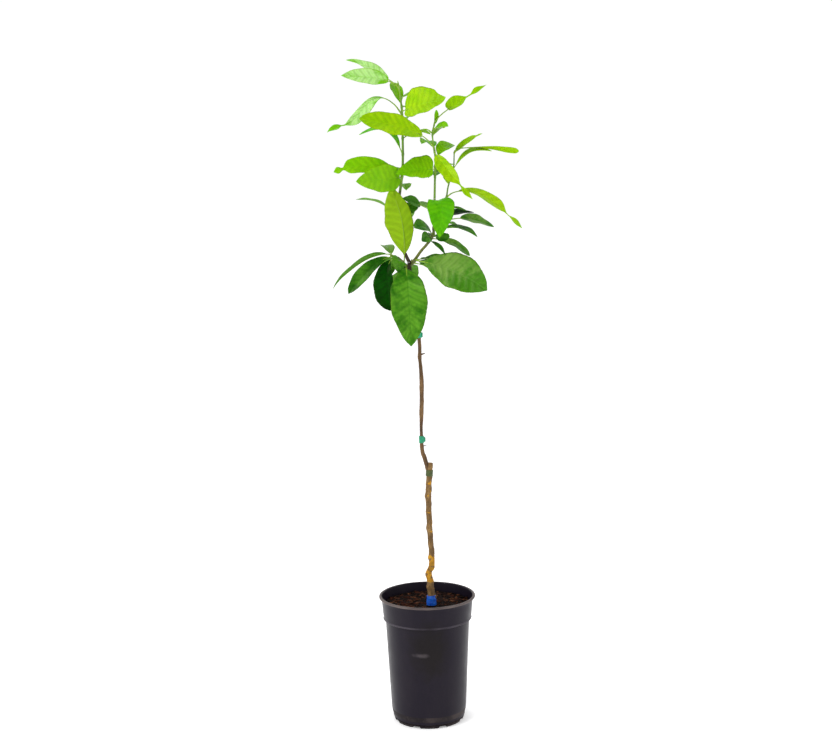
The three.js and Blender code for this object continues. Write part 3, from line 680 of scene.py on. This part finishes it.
def add_bud(sheet, place, direction, size, slot):
    """Adds a small pointed bud."""
    direction = direction.normalized()
    across = direction.orthogonal().normalized()
    sides = 8
    profile = [(0, 0.55), (0.3, 0.9), (0.6, 0.8), (0.85, 0.45), (1, 0.06)]
    points = []
    for rise, wide in profile:
        centre = place + direction * size * rise * 1.7
        points += ring(centre, direction, across, sides, lambda angle: size * wide * 0.6)
    sheet.add(points, ring_faces(len(profile), sides), slot)


def make_mass(mass, limb, leaves, skins):
    """Replaces one mass with its blades and, as a piece apart, its shoot, stalks and buds."""
    tones = list(TONES)
    blades = Sheet()
    for number, leaf in enumerate(leaves):
        add_blade(blades, leaf, mass.seed * 40 + number + 1, 2 * tones.index(leaf.tone))
    blades.make(mass.name + "_blades", skins["tones"], mass.name, mark="leaf_place")

    def swollen(distance, angle, own):
        knot = sum(math.exp(-((distance - leaf.along - 1) / 2.6) ** 2) for leaf in leaves)
        ridge = 0.05 * math.sin(3 * angle + distance * 0.05)
        return own * (1 + 0.28 * min(knot, 1.2) + ridge)

    twigs = Sheet()
    shoot_end = min(mass.end, limb.length)
    twigs.add(*tube(limb, mass.start, shoot_end, 1.5, 14, swollen))
    for leaf in leaves:
        add_stalk(twigs, leaf, 1)
        out = (leaf.rib(0.08) - leaf.root).normalized()
        along = (limb.at(leaf.along + 2)[0] - limb.at(leaf.along - 2)[0]).normalized()
        bud_root = leaf.root + out * limb.at(leaf.along)[1] * 0.8 + along * 1.6
        add_bud(twigs, bud_root, out + along * 1.4, 1.5, 1)
    if shoot_end >= limb.length - 3:
        tip, own = limb.at(shoot_end)
        add_bud(twigs, tip, tip - limb.at(shoot_end - 3)[0], own * 1.6, 1)
    rind = skins["old_shoot"] if mass.slot == "old_leaves" else skins["young_shoot"]
    twigs.make(mass.name + "_twigs", [rind, skins["stalk"]], mass.name)


# Materials

class Nodes:
    """The nodes of a material or of the room."""

    def __init__(self, tree):
        self.tree = tree

    def feed(self, node, *values, **named):
        """Feeds a node's inputs, in order or by name, with values or other nodes' outputs."""
        sockets = [*node.inputs[:len(values)], *(node.inputs[name.replace("_", " ")] for name in named)]
        for socket, value in zip(sockets, [*values, *named.values()]):
            if isinstance(value, bpy.types.NodeSocket):
                self.tree.links.new(value, socket)
            else:
                socket.default_value = value

    def node(self, kind, *values, operation=None, **named):
        """Adds a node of a kind and feeds it."""
        made = self.tree.nodes.new("ShaderNode" + kind)
        if operation:
            made.operation = operation
        self.feed(made, *values, **named)
        return made

    def math(self, operation, *values):
        """A sum, product or other plain operation on values."""
        return self.node("Math", *values, operation=operation).outputs["Value"]

    def scaled(self, value, factor, offset=0.0):
        """A value times a factor, plus an offset."""
        return self.math("MULTIPLY_ADD", value, factor, offset)

    def vector(self, operation, *values, result="Vector"):
        """A plain operation on vectors."""
        return self.node("VectorMath", *values, operation=operation).outputs[result]

    def place(self, kind="Object"):
        """The place in the object's own metres, or by another kind of coordinates."""
        return self.node("TexCoord").outputs[kind]

    def mark(self, name, result="Fac"):
        """What the mesh keeps at each point, as a value or a vector."""
        made = self.node("Attribute")
        made.attribute_name = name
        return made.outputs[result]

    def noise(self, scale, detail=4.0, roughness=0.55, stretch=(1, 1, 1)):
        """Noise in the object's own metres, drawn out along an axis by a small stretch value."""
        drawn = self.node("Mapping", Vector=self.place(), Scale=stretch).outputs["Vector"]
        made = self.node("TexNoise", Vector=drawn, Scale=scale, Detail=detail, Roughness=roughness)
        return made.outputs["Fac"]

    def wander(self, middle, spread, scale, detail=4.0):
        """A value that wanders with noise over a spread about its middle."""
        return self.scaled(self.noise(scale, detail), spread, middle - spread / 2)

    def ramp(self, value, *stops):
        """Colours or greys over a value, given as (position, sRGB colour or grey share)."""
        made = self.node("ValToRGB", Fac=value)
        elements = made.color_ramp.elements
        while len(elements) < len(stops):
            elements.new(0.5)
        for element, (position, colour) in zip(elements, stops):
            element.position = position
            element.color = linear(colour) if isinstance(colour, tuple) else (colour, colour, colour, 1)
        return made.outputs["Color"]

    def layered(self, colour, *layers):
        """A colour under layers of others, each given as (share, colour)."""
        for share, over in layers:
            made = self.node("Mix")
            made.data_type = "RGBA"
            self.feed(made, Factor=share, A=colour, B=over)
            colour = made.outputs["Result"]
        return colour

    def blot(self, centre, size, ragged=0.0):
        """1 inside an ellipsoid of the object's own metres, 0 outside it, with a soft and ragged edge."""
        reach = self.vector("DIVIDE", self.vector("SUBTRACT", self.place(), centre), size)
        edge = self.vector("DISTANCE", reach, (0, 0, 0), result="Value")
        return self.ramp(self.math("ADD", edge, self.wander(0, ragged, 70)), (0.35, 1.0), (1.0, 0.0))


class Skin(Nodes):
    """A procedural material, whose shader takes its settings by name."""

    def __init__(self, name, **settings):
        self.material = bpy.data.materials.new(name)
        self.material.use_nodes = True
        super().__init__(self.material.node_tree)
        self.shader = self.tree.nodes["Principled BSDF"]
        self.feed(self.shader, **settings)

    def surface(self, colour, rough, relief, strength, depth):
        """Gives the shader its colour, its roughness and its relief, and hands over the material."""
        bump = self.node("Bump", Height=relief, Strength=strength, Distance=depth)
        self.feed(self.shader, Base_Color=colour, Roughness=rough, Normal=bump.outputs["Normal"])
        return self.material


def leaf_skin(name, tone, patch, pull, gloss, vein_light, rough):
    """A leaf surface: patches, blemishes, sunk side veins with painted shade in their furrows and a painted
    highlight between them, a soft midrib and rim, and fine oil glands.
    """
    skin = Skin(name, Subsurface_Weight=0.1, Subsurface_Radius=(0.0012, 0.0022, 0.0004),
                Subsurface_Scale=1.0, Specular_IOR_Level=gloss, Specular_Tint=(0.85, 1, 0.45, 1))
    marks = skin.node("SeparateXYZ", Vector=skin.mark("leaf_place", "Vector"))
    count, from_rib, reach = marks.outputs
    base = linear(tone)
    vein = shade(base, 1 + vein_light, 0.01 * vein_light)
    rim = (min(1, base[0] * 1.3 + 0.01), min(1, base[1] * 1.1), base[2] * 0.8, 1)
    off_middle = skin.math("ABSOLUTE", skin.math("SUBTRACT", count, 5.0))
    spread = skin.math("ADD", skin.noise(26, 4, 0.65), skin.scaled(off_middle, -pull, 2.3 * pull))
    near = skin.math("ABSOLUTE", skin.math("SUBTRACT", skin.math("FRACT", count), 0.5))
    # Painted shade: the blade darkens along its side veins, where the pucker dips into furrows.
    furrow = skin.math("MULTIPLY", skin.ramp(near, (0.05, 0.6), (0.3, 0.0)), skin.noise(48, 2))
    inner = skin.ramp(reach, (0.5, 1.0), (0.92, 0.0))
    side_vein = skin.math("MULTIPLY", skin.ramp(near, (0.015, 0.3), (0.07, 0.0)), inner)
    colour = skin.layered(
        base,
        (skin.ramp(spread, (0.42, 0.0), (0.58, 1.0)), linear(patch)),
        (skin.ramp(skin.noise(95, 5, 0.7), (0.5, 0.0), (0.7, 0.35)), shade(base, 0.5)),
        # Painted shade along the side veins.
        (furrow, shade(base, 0.6)),
        # Painted highlight: the blade lightens midway between its side veins, on the crowns of the pucker.
        (skin.ramp(near, (0.3, 0.0), (0.5, 0.26)), shade(base, 1.3)),
        (skin.ramp(reach, (0.82, 0.0), (1.0, 0.4)), rim),
        (side_vein, vein),
        (skin.ramp(from_rib, (0.25, 0.4), (1.0, 0.0)), vein),
    )
    glands = skin.node("TexVoronoi", Vector=skin.place(), Scale=1150.0)
    relief = skin.math("SUBTRACT", skin.scaled(glands.outputs["Distance"], 0.5), side_vein)
    return skin.surface(colour, skin.wander(rough, 0.2, 160, 3), relief, 0.22, 0.0003)


def tone_skins():
    """Two materials for each tone: the upper side and the paler underside."""
    made = []
    for name, (upper, patch, under, pull, gloss) in TONES.items():
        made.append(leaf_skin("leaf_" + name, upper, patch, pull, gloss, 0.3, 0.4))
        made.append(leaf_skin("leaf_" + name + "_under", under, under, 0, 0.06, 0.2, 0.6))
    return made


def bark_skin(name, pale, middle, dark, rough=0.82, relief=0.5):
    """Bark: long fissures and corky flecks over a mottled ground, darker in the hollows of the relief."""
    skin = Skin(name)
    ground = skin.ramp(skin.noise(95, 6, 0.62, (1, 1, 0.35)), (0.28, dark), (0.5, middle), (0.74, pale))
    flecks = skin.ramp(skin.noise(700, 3, 0.6, (1, 1, 0.6)), (0.45, 0.0), (0.62, 0.45))
    hollow = skin.scaled(skin.mark("hollow"), 0.6)
    colour = skin.layered(ground, (flecks, linear(dark)), (hollow, linear(dark)))
    grain = skin.noise(900, 6, 0.7, (1, 1, 0.4))
    return skin.surface(colour, skin.wander(rough, 0.2, 300), grain, relief, 0.0006)


def shoot_skin(name, pale, dark):
    """A young shoot: smooth green rind with faint lengthwise streaks."""
    skin = Skin(name, Subsurface_Weight=0.1, Subsurface_Radius=(0.001, 0.002, 0.0004), Subsurface_Scale=1.0)
    colour = skin.ramp(skin.noise(260, 4, 0.6, (1, 1, 0.15)), (0.3, dark), (0.7, pale))
    streaks = skin.noise(1400, 3, 0.6, (1, 1, 0.2))
    return skin.surface(colour, skin.wander(0.45, 0.2, 400), streaks, 0.2, 0.0003)


def pot_skin(name, dark, pale, rough, dust):
    """Moulded nursery plastic: charcoal with a fine grain, a brown stain, a painted highlight and a film of
    dust.
    """
    skin = Skin(name, Specular_IOR_Level=POT_SHEEN)
    smears = skin.ramp(skin.noise(26, 5, 0.6, (1, 1, 0.5)), (0.42, 0.0), (0.75, dust))
    specks = skin.ramp(skin.noise(520, 2), (0.62, 0.0), (0.72, dust * 0.8))
    stain = skin.scaled(skin.blot(*STAIN, 0.9), 0.7)
    # Painted highlight: a soft light patch low on the pot's front.
    painted_highlight = skin.scaled(skin.blot(*PAINTED_HIGHLIGHT, 1.2), 0.3)
    colour = skin.layered(linear(dark), (smears, linear(pale)), (stain, linear((16, 10, 5))),
                          (painted_highlight, linear((112, 104, 108))), (specks, linear(pale)))
    return skin.surface(colour, skin.wander(rough, 0.24, 60, 5), skin.noise(1600, 3), 0.12, 0.0003)


def tape_skin(name, pale, dark, rough, ribs):
    """Plastic tape with the fine cross ribs of its weave or its stretch."""
    skin = Skin(name)
    worn = skin.ramp(skin.noise(240, 4), (0.35, 0.0), (0.7, 1.0))
    colour = skin.layered(linear(pale), (worn, linear(dark)))
    weave = skin.noise(ribs, 2, 0.5, (0.3, 0.3, 2.4))
    return skin.surface(colour, skin.wander(rough, 0.2, 300), weave, 0.35, 0.0004)


def soil_skin(name, pale, middle, dark, relief):
    """Potting mix: dark crumbs with fibres and paler grains."""
    skin = Skin(name, Specular_IOR_Level=0.08)
    colour = skin.ramp(skin.noise(480, 6, 0.7), (0.32, dark), (0.55, middle), (0.78, pale))
    return skin.surface(colour, skin.wander(0.895, 0.15, 900), skin.noise(1100, 6, 0.7), relief, 0.0012)


# Trunk and boughs

def bark_relief(seed, knots, amount, length):
    """A function for the bark's radius: knots, wrinkles and long fissures round the limb's own radius."""
    def radius(distance, angle, own):
        place = Vector((*around(own, angle), distance))
        swell = noise.noise(place * 0.055 + Vector((seed, 0, 0))) * 0.5
        wrinkle = noise.noise(Vector((place.x * 0.35, place.y * 0.35, place.z * 0.6 + seed))) * 0.32
        fissure = -abs(noise.noise(Vector((place.x * 0.5, place.y * 0.5, place.z * 0.12 - seed)))) * 0.5
        knot = 0
        for height, bearing, size in knots:
            turn = math.cos(angle - bearing)
            knot += size * math.exp(-((distance - height) / 5) ** 2) * max(0, turn) ** 2
        ends = min(1, distance / 6) * min(1, (length - distance + 1) / 3)
        return own + (swell + wrinkle + fissure + knot) * amount * ends
    return radius


def add_bark(sheet, limb, seed, knots, amount, pick, step=1.3, sides=40, level=None):
    """Adds a limb with the bark's relief. pick chooses a face's slot by its height and a random share."""
    radius = bark_relief(seed, knots, amount, limb.length)
    hollows = []

    def tracked(distance, angle, own):
        reach = radius(distance, angle, own)
        hollows.append(min(1, max(0, (own + 0.05 - reach) / (0.5 * amount + 0.01))))
        return reach

    points, faces = tube(limb, 0, limb.length, step, sides, tracked, level)
    slots = []
    for face in faces:
        centre = sum((Vector(points[corner]) for corner in face), Vector()) / len(face)
        share = 0.5 + 0.5 * noise.noise(centre * 0.16 + Vector((seed, 0, 0)))
        slots.append(pick(centre.z, share))
    sheet.add(points, faces, slots, hollows)


def stub_limb(limb, stub):
    """The short tapered line of a stub that leaves a limb."""
    foot = limb.at(limb.reach(stub["height"]))[0]
    reach = Vector((*around(1, math.radians(stub["bearing"])), 0.25)) * stub["long"]
    return Limb([(*(foot + reach * share), stub["radius"] * (1 - 0.75 * share)) for share in (0, 0.5, 1)])


def make_trunk(rootstock, scion):
    """The grafted trunk: a rough rootstock, the scion that rises beside its cut top, and two stubs."""
    skins = [
        bark_skin("bark_rootstock", (168, 134, 82), (126, 94, 50), (62, 44, 22)),
        bark_skin("bark_ochre", (226, 172, 40), (196, 138, 12), (112, 76, 14)),
        bark_skin("bark_scion", (140, 108, 68), (106, 76, 42), (56, 38, 20)),
        bark_skin("bark_fork", (84, 62, 40), (56, 38, 26), (24, 16, 12)),
        bark_skin("bark_cut", (186, 150, 96), (150, 114, 66), (96, 68, 36), relief=0.3),
    ]
    plain, ochre, smooth, fork, cut = range(len(skins))

    def rootstock_slot(height, share):
        if height > CUT_HEIGHT:
            return cut
        inside = OCHRE_PATCH[0] < height < OCHRE_PATCH[1]
        return ochre if share > (0.36 if inside else 0.76) else plain

    def scion_slot(height, share):
        return fork if height + 60 * (share - 0.5) > DARK_HEIGHT else smooth

    random = seeded(17)
    root_knots = [(14 + 13 * i + 6 * random(), 3.2 * i + random(), 1.6 + 1.2 * random()) for i in range(18)]
    scion_knots = [(34 + 19 * i + 9 * random(), 2.4 * i + random(), 0.7 + random()) for i in range(17)]
    sheet = Sheet()
    add_bark(sheet, rootstock, 3.1, root_knots, 0.95, rootstock_slot, level=GROUND)
    add_bark(sheet, scion, 8.7, scion_knots, 0.6, scion_slot)
    for number, stub in enumerate(STUBS):
        add_bark(sheet, stub_limb(scion, stub), 20 + number, [], 0.2, lambda height, share: smooth, 0.6, 14)
    sheet.make("trunk_bark", skins, "trunk", mark="hollow")


def make_bough(name, limb, end, seed, skin, level=None):
    """One bough between the trunk and the mass that it enters."""
    radius = bark_relief(seed, [(14 + 17 * i, 2.1 * i, 0.5) for i in range(4)], 0.35, limb.length)
    sheet = Sheet()
    sheet.add(*tube(limb, 0, end, 1.2, 28, radius, level))
    sheet.make(name + "_bark", [skin], name, mark="hollow")


# Tapes

def add_band(sheet, limb, start, end, inner, turns, depth, thick, sides=48):
    """Adds a closed sleeve round a limb between two distances, whose outside winds up in turns."""
    rings = max(6, math.ceil((end - start) / 0.5))
    outside, inside = [], []
    for i, distance in enumerate(steps(start, end, rings)):
        centre, own = limb.at(distance)
        along = (limb.at(distance + 1)[0] - limb.at(distance - 1)[0]).normalized()
        across = (Vector((1, 0, 0)) - along * along.x).normalized()

        def wound(angle):
            return own + inner + thick + depth * math.sin(TURN * (turns * i / rings + angle / TURN))

        outside.append(ring(centre, along, across, sides, wound))
        inside.append(ring(centre, along, across, sides, lambda angle: own + inner))
    rows = outside + inside[::-1]
    sheet.add([point for row in rows for point in row], ring_faces(len(rows), sides, closed=True))


def add_tab(sheet, limb, height, tall, reach, foot):
    """Adds the free end of a tie, a small folded strip that stands out to the right."""
    centre, own = limb.at(limb.reach(height))
    thick = 0.5
    points = []
    for share in steps(0, 1, 8):
        x = centre.x + own + foot + reach * share
        y = centre.y - 1.2 + 1.6 * math.sin(2.4 * share)
        low = height - tall / 2 + 0.7 * share
        high = height + tall / 2 - 1.2 * share
        points.extend([(x, y, low), (x, y + thick, low), (x, y + thick, high), (x, y, high)])
    sheet.add(points, ring_faces(9, 4))


def make_bands(rootstock, scion):
    """The blue foot band, the grafting tape and the two green ties."""
    blue = tape_skin("tape_blue", (6, 104, 218), (0, 66, 178), 0.42, 700)
    olive = tape_skin("tape_olive", (78, 92, 36), (44, 54, 20), 0.55, 500)
    teal = tape_skin("tape_teal", (6, 158, 112), (0, 116, 84), 0.45, 420)
    foot = Sheet()
    add_band(foot, rootstock, 0.6, rootstock.reach(FOOT_BAND_TOP), 0.75, 2.2, 0.14, 0.75)
    foot.make("foot_band_wrap", [blue], "foot_band")
    graft = Sheet()
    add_band(graft, rootstock, *map(rootstock.reach, GRAFT_TAPE), 0.55, 4, 0.14, 0.75)
    graft.make("graft_tape_wrap", [olive], "graft_tape")
    for name, (low, high) in TIES.items():
        tie = Sheet()
        add_band(tie, scion, scion.reach(low), scion.reach(high), 0.6, 0.6, 0.1, 0.9)
        add_tab(tie, scion, (low + high) / 2, 9, 2.6, 1.1)
        tie.make(name + "_wrap", [teal], name)


# Pot and soil

def arc(radius, height, reach, start, end, count):
    """Points of a profile on an arc, between two angles in degrees."""
    turns = [math.radians(turn) for turn in steps(start, end, count)]
    return [(radius + reach * math.cos(turn), height + reach * math.sin(turn)) for turn in turns]


def pot_body():
    """The profile of the body's outside: a plain taper, a narrower band at its foot, and a curled edge."""
    taper = (BODY_TOP_RADIUS - BODY_FOOT_RADIUS) / (COLLAR_FOOT - FOOT_HEIGHT)
    low = FOOT_HEIGHT + 2.4
    body = []
    for height in steps(low, COLLAR_FOOT - 1.6, 24):
        tuck = FOOT_TUCK * (1 - min(1, max(0, (height - FOOT_BAND) / 1.6)))
        curl = BODY_CURL * max(0, 1 - (height - low) / BODY_CURL_HEIGHT) ** 2
        body.append((BODY_FOOT_RADIUS + taper * (height - FOOT_HEIGHT) - tuck - curl, height))
    return body


def pot_profile():
    """The pot's profile in stretches of one skin each, from its underside, over the lip, to its inside."""
    lip = POT_HEIGHT - LIP_DEPTH
    foot_inner = FOOT_RADIUS - FOOT_WIDTH
    body = pot_body()
    underside = [
        (0.5, 0), (BOSS_RADIUS - 0.5, 0), (BOSS_RADIUS + 0.2, 0.6), (BOSS_RADIUS + 1, FOOT_HEIGHT),
        (foot_inner - 1, FOOT_HEIGHT), (foot_inner, 0.4), (foot_inner + 0.5, 0),
        (FOOT_RADIUS - 0.6, 0), (FOOT_RADIUS, 0.5), (FOOT_RADIUS + 0.8, FOOT_HEIGHT - 0.2),
        (FOOT_RADIUS + 1.2, FOOT_HEIGHT + 0.2), (BODY_FOOT_RADIUS - FOOT_TUCK - 2.8, FOOT_HEIGHT + 1.2),
    ]
    bead = [(COLLAR_FOOT_RADIUS + out, COLLAR_FOOT + up)
            for out, up in ((-0.9, -0.3), (-0.1, 0), (BEAD_OUT, 0.6), (BEAD_OUT, 1), (0.1, 1.9))]
    collar_radii = steps(COLLAR_FOOT_RADIUS, COLLAR_TOP_RADIUS, 6)
    collar = list(zip(collar_radii, steps(COLLAR_FOOT + 3, lip - 1.6, 6)))
    top = POT_HEIGHT - LIP_ROLL
    roll_in = arc(LIP_RADIUS - 3.1, top, LIP_ROLL, 100, 170, 5)
    inside = [
        (COLLAR_TOP_RADIUS - WALL + 0.5, lip - 1), (COLLAR_TOP_RADIUS - WALL, lip - 3),
        (COLLAR_FOOT_RADIUS - WALL, COLLAR_FOOT + 2), (BODY_TOP_RADIUS - WALL, COLLAR_FOOT - 1),
        (BODY_FOOT_RADIUS - WALL, FLOOR_TOP), (0.5, FLOOR_TOP),
    ]
    return [
        ("foot", underside + body[:2]),
        ("plastic", [*body[2:], (BODY_TOP_RADIUS + 0.9, COLLAR_FOOT - 0.9)]),
        ("bead", bead),
        ("plastic", [*collar, (COLLAR_TOP_RADIUS + 0.5, lip - 0.5)]),
        ("lip", [
            (LIP_RADIUS - 1.6, lip + 0.1),
            *arc(LIP_RADIUS - LIP_EDGE, lip + LIP_EDGE, LIP_EDGE, -70, 0, 4),
            *arc(LIP_RADIUS - LIP_ROLL, top, LIP_ROLL, 0, 90, 6),
            roll_in[0],
        ]),
        ("plastic", roll_in[1:] + inside),
    ]


def make_pot():
    """The pot: rolled lip, beaded collar, tapered body and the notched ring it stands on."""
    skins = {
        "plastic": pot_skin("pot_plastic", (23, 17, 30), (62, 54, 54), 0.34, 0.12),
        # The lip's lighter tone is dust and a painted highlight along the top of the lip.
        "lip": pot_skin("pot_lip_dust_and_highlight", (84, 74, 74), (132, 120, 114), 0.5, 0.5),
        "foot": pot_skin("pot_foot_dusty", (28, 22, 26), (84, 74, 72), 0.6, 0.6),
        # The bead's lighter tone is a painted highlight along the bead.
        "bead": pot_skin("pot_bead_highlight", (60, 55, 64), (92, 86, 90), 0.4, 0.4),
    }
    half_notch = DRAIN_WIDTH / 2 / FOOT_RADIUS
    pitch = TURN / DRAIN_COUNT
    points, slots = [], []
    for kind, stretch in pot_profile():
        slots += [list(skins).index(kind)] * (len(stretch) * POT_SIDES)
        for radius, height in stretch:
            notched = height < 1 and radius >= FOOT_RADIUS - FOOT_WIDTH
            for angle in steps(0, TURN, POT_SIDES)[:-1]:
                off = abs((angle % pitch) - pitch / 2)
                notch = DRAIN_HEIGHT * min(1, max(0, (half_notch - off) / 0.02)) if notched else 0
                points.append((*around(radius, angle), max(height, notch)))
    faces = ring_faces(len(points) // POT_SIDES, POT_SIDES)
    sheet = Sheet()
    sheet.add(points, faces, slots[:-POT_SIDES] + [0, 0])
    sheet.make("pot_shell", list(skins.values()), "pot", crease=POT_CREASE)


def soil_height(x, y):
    """The lumpy top of the soil, which drops a little towards the pot's wall."""
    reach = math.hypot(x, y) / (COLLAR_TOP_RADIUS - WALL - 2)
    lumps = noise.fractal(Vector((x * 0.05, y * 0.05, 4.2)), 1.0, 2.1, 5)
    crumbs = noise.noise(Vector((x * 0.42, y * 0.42, 9.1)))
    top = SOIL_TOP - 1.1 - SOIL_EDGE_DROP * max(0, reach - 0.75) * 4
    return min(SOIL_TOP, top + 1.1 * lumps + 0.55 * crumbs)


def make_soil_top(rim):
    """The soil's crumbled top over a plain plug."""
    rings = int(rim / SOIL_STEP)
    plug = [(rim - 1, SOIL_TOP - 14), (BODY_TOP_RADIUS - WALL - 1, COLLAR_FOOT - 4),
            (BODY_FOOT_RADIUS - WALL - 1, FLOOR_TOP + GAP)]
    levels = [(radius, None) for radius in steps(0, rim, rings)[1:]] + plug
    points = [(0, 0, soil_height(0, 0))]
    for i, (radius, height) in enumerate(levels):
        shift = 0.5 * (min(i + 1, rings) % 2)
        for k in range(SOIL_SIDES):
            x, y = around(radius, TURN * (k + shift) / SOIL_SIDES)
            points.append((x, y, height or soil_height(x, y)))
    faces = [(0, 1 + k, 1 + (k + 1) % SOIL_SIDES) for k in range(SOIL_SIDES)]
    for first in range(1, len(points) - SOIL_SIDES, SOIL_SIDES):
        second = first + SOIL_SIDES
        for k in range(SOIL_SIDES):
            right = (k + 1) % SOIL_SIDES
            faces.append((first + k, second + k, second + right, first + right))
    faces.append(tuple(len(points) - 1 - k for k in range(SOIL_SIDES)))
    sheet = Sheet()
    sheet.add(points, faces)
    ground = soil_skin("soil_crumbs", (70, 38, 22), (26, 13, 9), (9, 5, 5), 1.0)
    sheet.make("soil_top", [ground], "soil")


def make_chips(rim):
    """Chips of bark that lie in the soil, clear of the trunk's foot."""
    chips = Sheet()
    random = seeded(77)
    for _ in range(CHIP_COUNT):
        reach = (rim - 4) * math.sqrt(random())
        x, y = around(reach, TURN * random())
        size = 0.7 + 3.0 * random() ** 2
        shape = Vector((size * (0.8 + 1.1 * random()), size * (0.4 + 0.5 * random()), size * 0.35))
        facing = Matrix.Rotation(6.28 * random(), 3, "Z") @ Matrix.Rotation(0.7 * (random() - 0.5), 3, "X")
        kind = int(random() ** 1.6 * 3)
        z = min(soil_height(x, y) + 0.1 * size, SOIL_TOP - shape.z * 1.1)
        corners = []
        for up in (-1, 1):
            for right, back in ((-1, -1), (1, -1), (1, 1), (-1, 1)):
                dent = 0.7 + 0.5 * random()
                corner = facing @ Vector((right * shape.x * dent, back * shape.y * dent, up * shape.z))
                corners.append((corner.x + x, corner.y + y, corner.z + z))
        if math.hypot(x - ROOTSTOCK[0][0], y - ROOTSTOCK[0][1]) > 11:
            chips.add(corners, CHIP_FACES, kind)
    skins = [
        soil_skin("chip_dark", (44, 24, 16), (22, 12, 9), (9, 5, 4), 0.6),
        soil_skin("chip_red", (98, 46, 26), (62, 28, 16), (24, 12, 8), 0.6),
        soil_skin("chip_tan", (148, 96, 62), (98, 60, 38), (44, 26, 18), 0.6),
    ]
    chips.make("soil_chips", skins, "soil")


# Studio

def make_camera():
    data = bpy.data.cameras.new("camera")
    data.sensor_width = CAMERA_SENSOR
    data.sensor_fit = "HORIZONTAL"
    data.lens = CAMERA_LENS
    camera = add_object("camera", data)
    pitch = Matrix.Rotation(math.radians(90 - CAMERA_PITCH), 4, "X")
    roll = Matrix.Rotation(math.radians(-CAMERA_ROLL), 4, "Z")
    camera.matrix_world = Matrix.Translation(CAMERA_PLACE) @ pitch @ roll
    bpy.context.scene.camera = camera


def make_light(name, place, target, size, power):
    """A round soft light that faces a target."""
    data = bpy.data.lights.new(name, "AREA")
    data.shape = "DISK"
    data.size = size
    data.energy = power
    light = add_object(name, data)
    light.location = place
    light.rotation_euler = (Vector(target) - Vector(place)).to_track_quat("-Z", "Y").to_euler()


def make_room():
    """A white room, dim overhead on the viewer's side, which gives the leaves their shade."""
    world = bpy.data.worlds.new("studio")
    world.use_nodes = True
    room = Nodes(world.node_tree)
    overhead = room.vector("DOT_PRODUCT", room.place("Generated"), CEILING_DIRECTION, result="Value")
    colour = room.ramp(overhead, (0.56, 1.0), (0.84, CEILING_SHADE))
    room.feed(room.tree.nodes["Background"], Color=colour, Strength=ROOM_STRENGTH)
    bpy.context.scene.world = world


def make_floor():
    """A pale floor that glows as bright as the room, but for a painted shadow round the pot's foot, where
    the glow fades out.
    """
    bpy.ops.mesh.primitive_circle_add(vertices=96, radius=FLOOR_RADIUS, fill_type="NGON")
    floor = bpy.context.object
    floor.name = "floor"
    skin = Skin("floor_paper", Emission_Color=(1, 1, 1, 1))
    colour = skin.ramp(skin.noise(3), (0.3, (250, 250, 251)), (0.7, (253, 253, 253)))
    # Painted shadow: the glow fades to nothing under and round the pot's foot.
    glow = skin.scaled(skin.blot((0, 0, 0), (0.08, 0.08, 0.08)), -FLOOR_GLOW, FLOOR_GLOW)
    skin.feed(skin.shader, Base_Color=colour, Roughness=skin.wander(0.85, 0.1, 8), Emission_Strength=glow)
    floor.data.materials.append(skin.material)


def make_studio():
    """Camera, room and floor, a large light from the upper left and a weaker one from the right."""
    make_camera()
    make_room()
    make_floor()
    make_light("key", (-1.5, -1.3, 2.9), (0, 0, 0.75), 1.3, KEY_POWER)
    make_light("fill", (2.2, -0.4, 1.4), (0, 0, 0.6), 1.6, FILL_POWER)
    view = bpy.context.scene.view_settings
    view.view_transform = "Standard"
    view.look = "None"


def make_tree():
    """The trunk with its bands, the two boughs and the masses of leaves."""
    rootstock, scion = Limb(ROOTSTOCK), Limb(SCION)
    make_trunk(rootstock, scion)
    make_bands(rootstock, scion)
    dark_bough = bark_skin("bark_leader", (96, 84, 40), (66, 46, 34), (34, 22, 20), 0.6, 0.3)
    green_bough = bark_skin("bark_right", (150, 158, 50), (116, 124, 34), (72, 70, 24), 0.6, 0.25)
    leader_end, right_end = LEADER_BARE - GAP, RIGHT_BARE - GAP
    make_bough("bough_leader", Limb(LEADER), leader_end, 5.3, dark_bough, LEADER[0][2])
    make_bough("bough_right", Limb(RIGHT_SHOOT), right_end, 6.1, green_bough)
    skins = {
        "tones": tone_skins(),
        "stalk": shoot_skin("stalk_green", (152, 184, 40), (104, 148, 24)),
        "young_shoot": shoot_skin("shoot_young", (122, 162, 30), (70, 112, 16)),
        "old_shoot": shoot_skin("shoot_old", (104, 118, 36), (64, 70, 24)),
    }
    for mass, limb, leaves in place_leaves():
        make_mass(mass, limb, leaves, skins)


make_studio()
make_pot()
soil_rim = COLLAR_TOP_RADIUS - WALL - GAP - 1.3
make_soil_top(soil_rim)
make_chips(soil_rim)
make_tree()
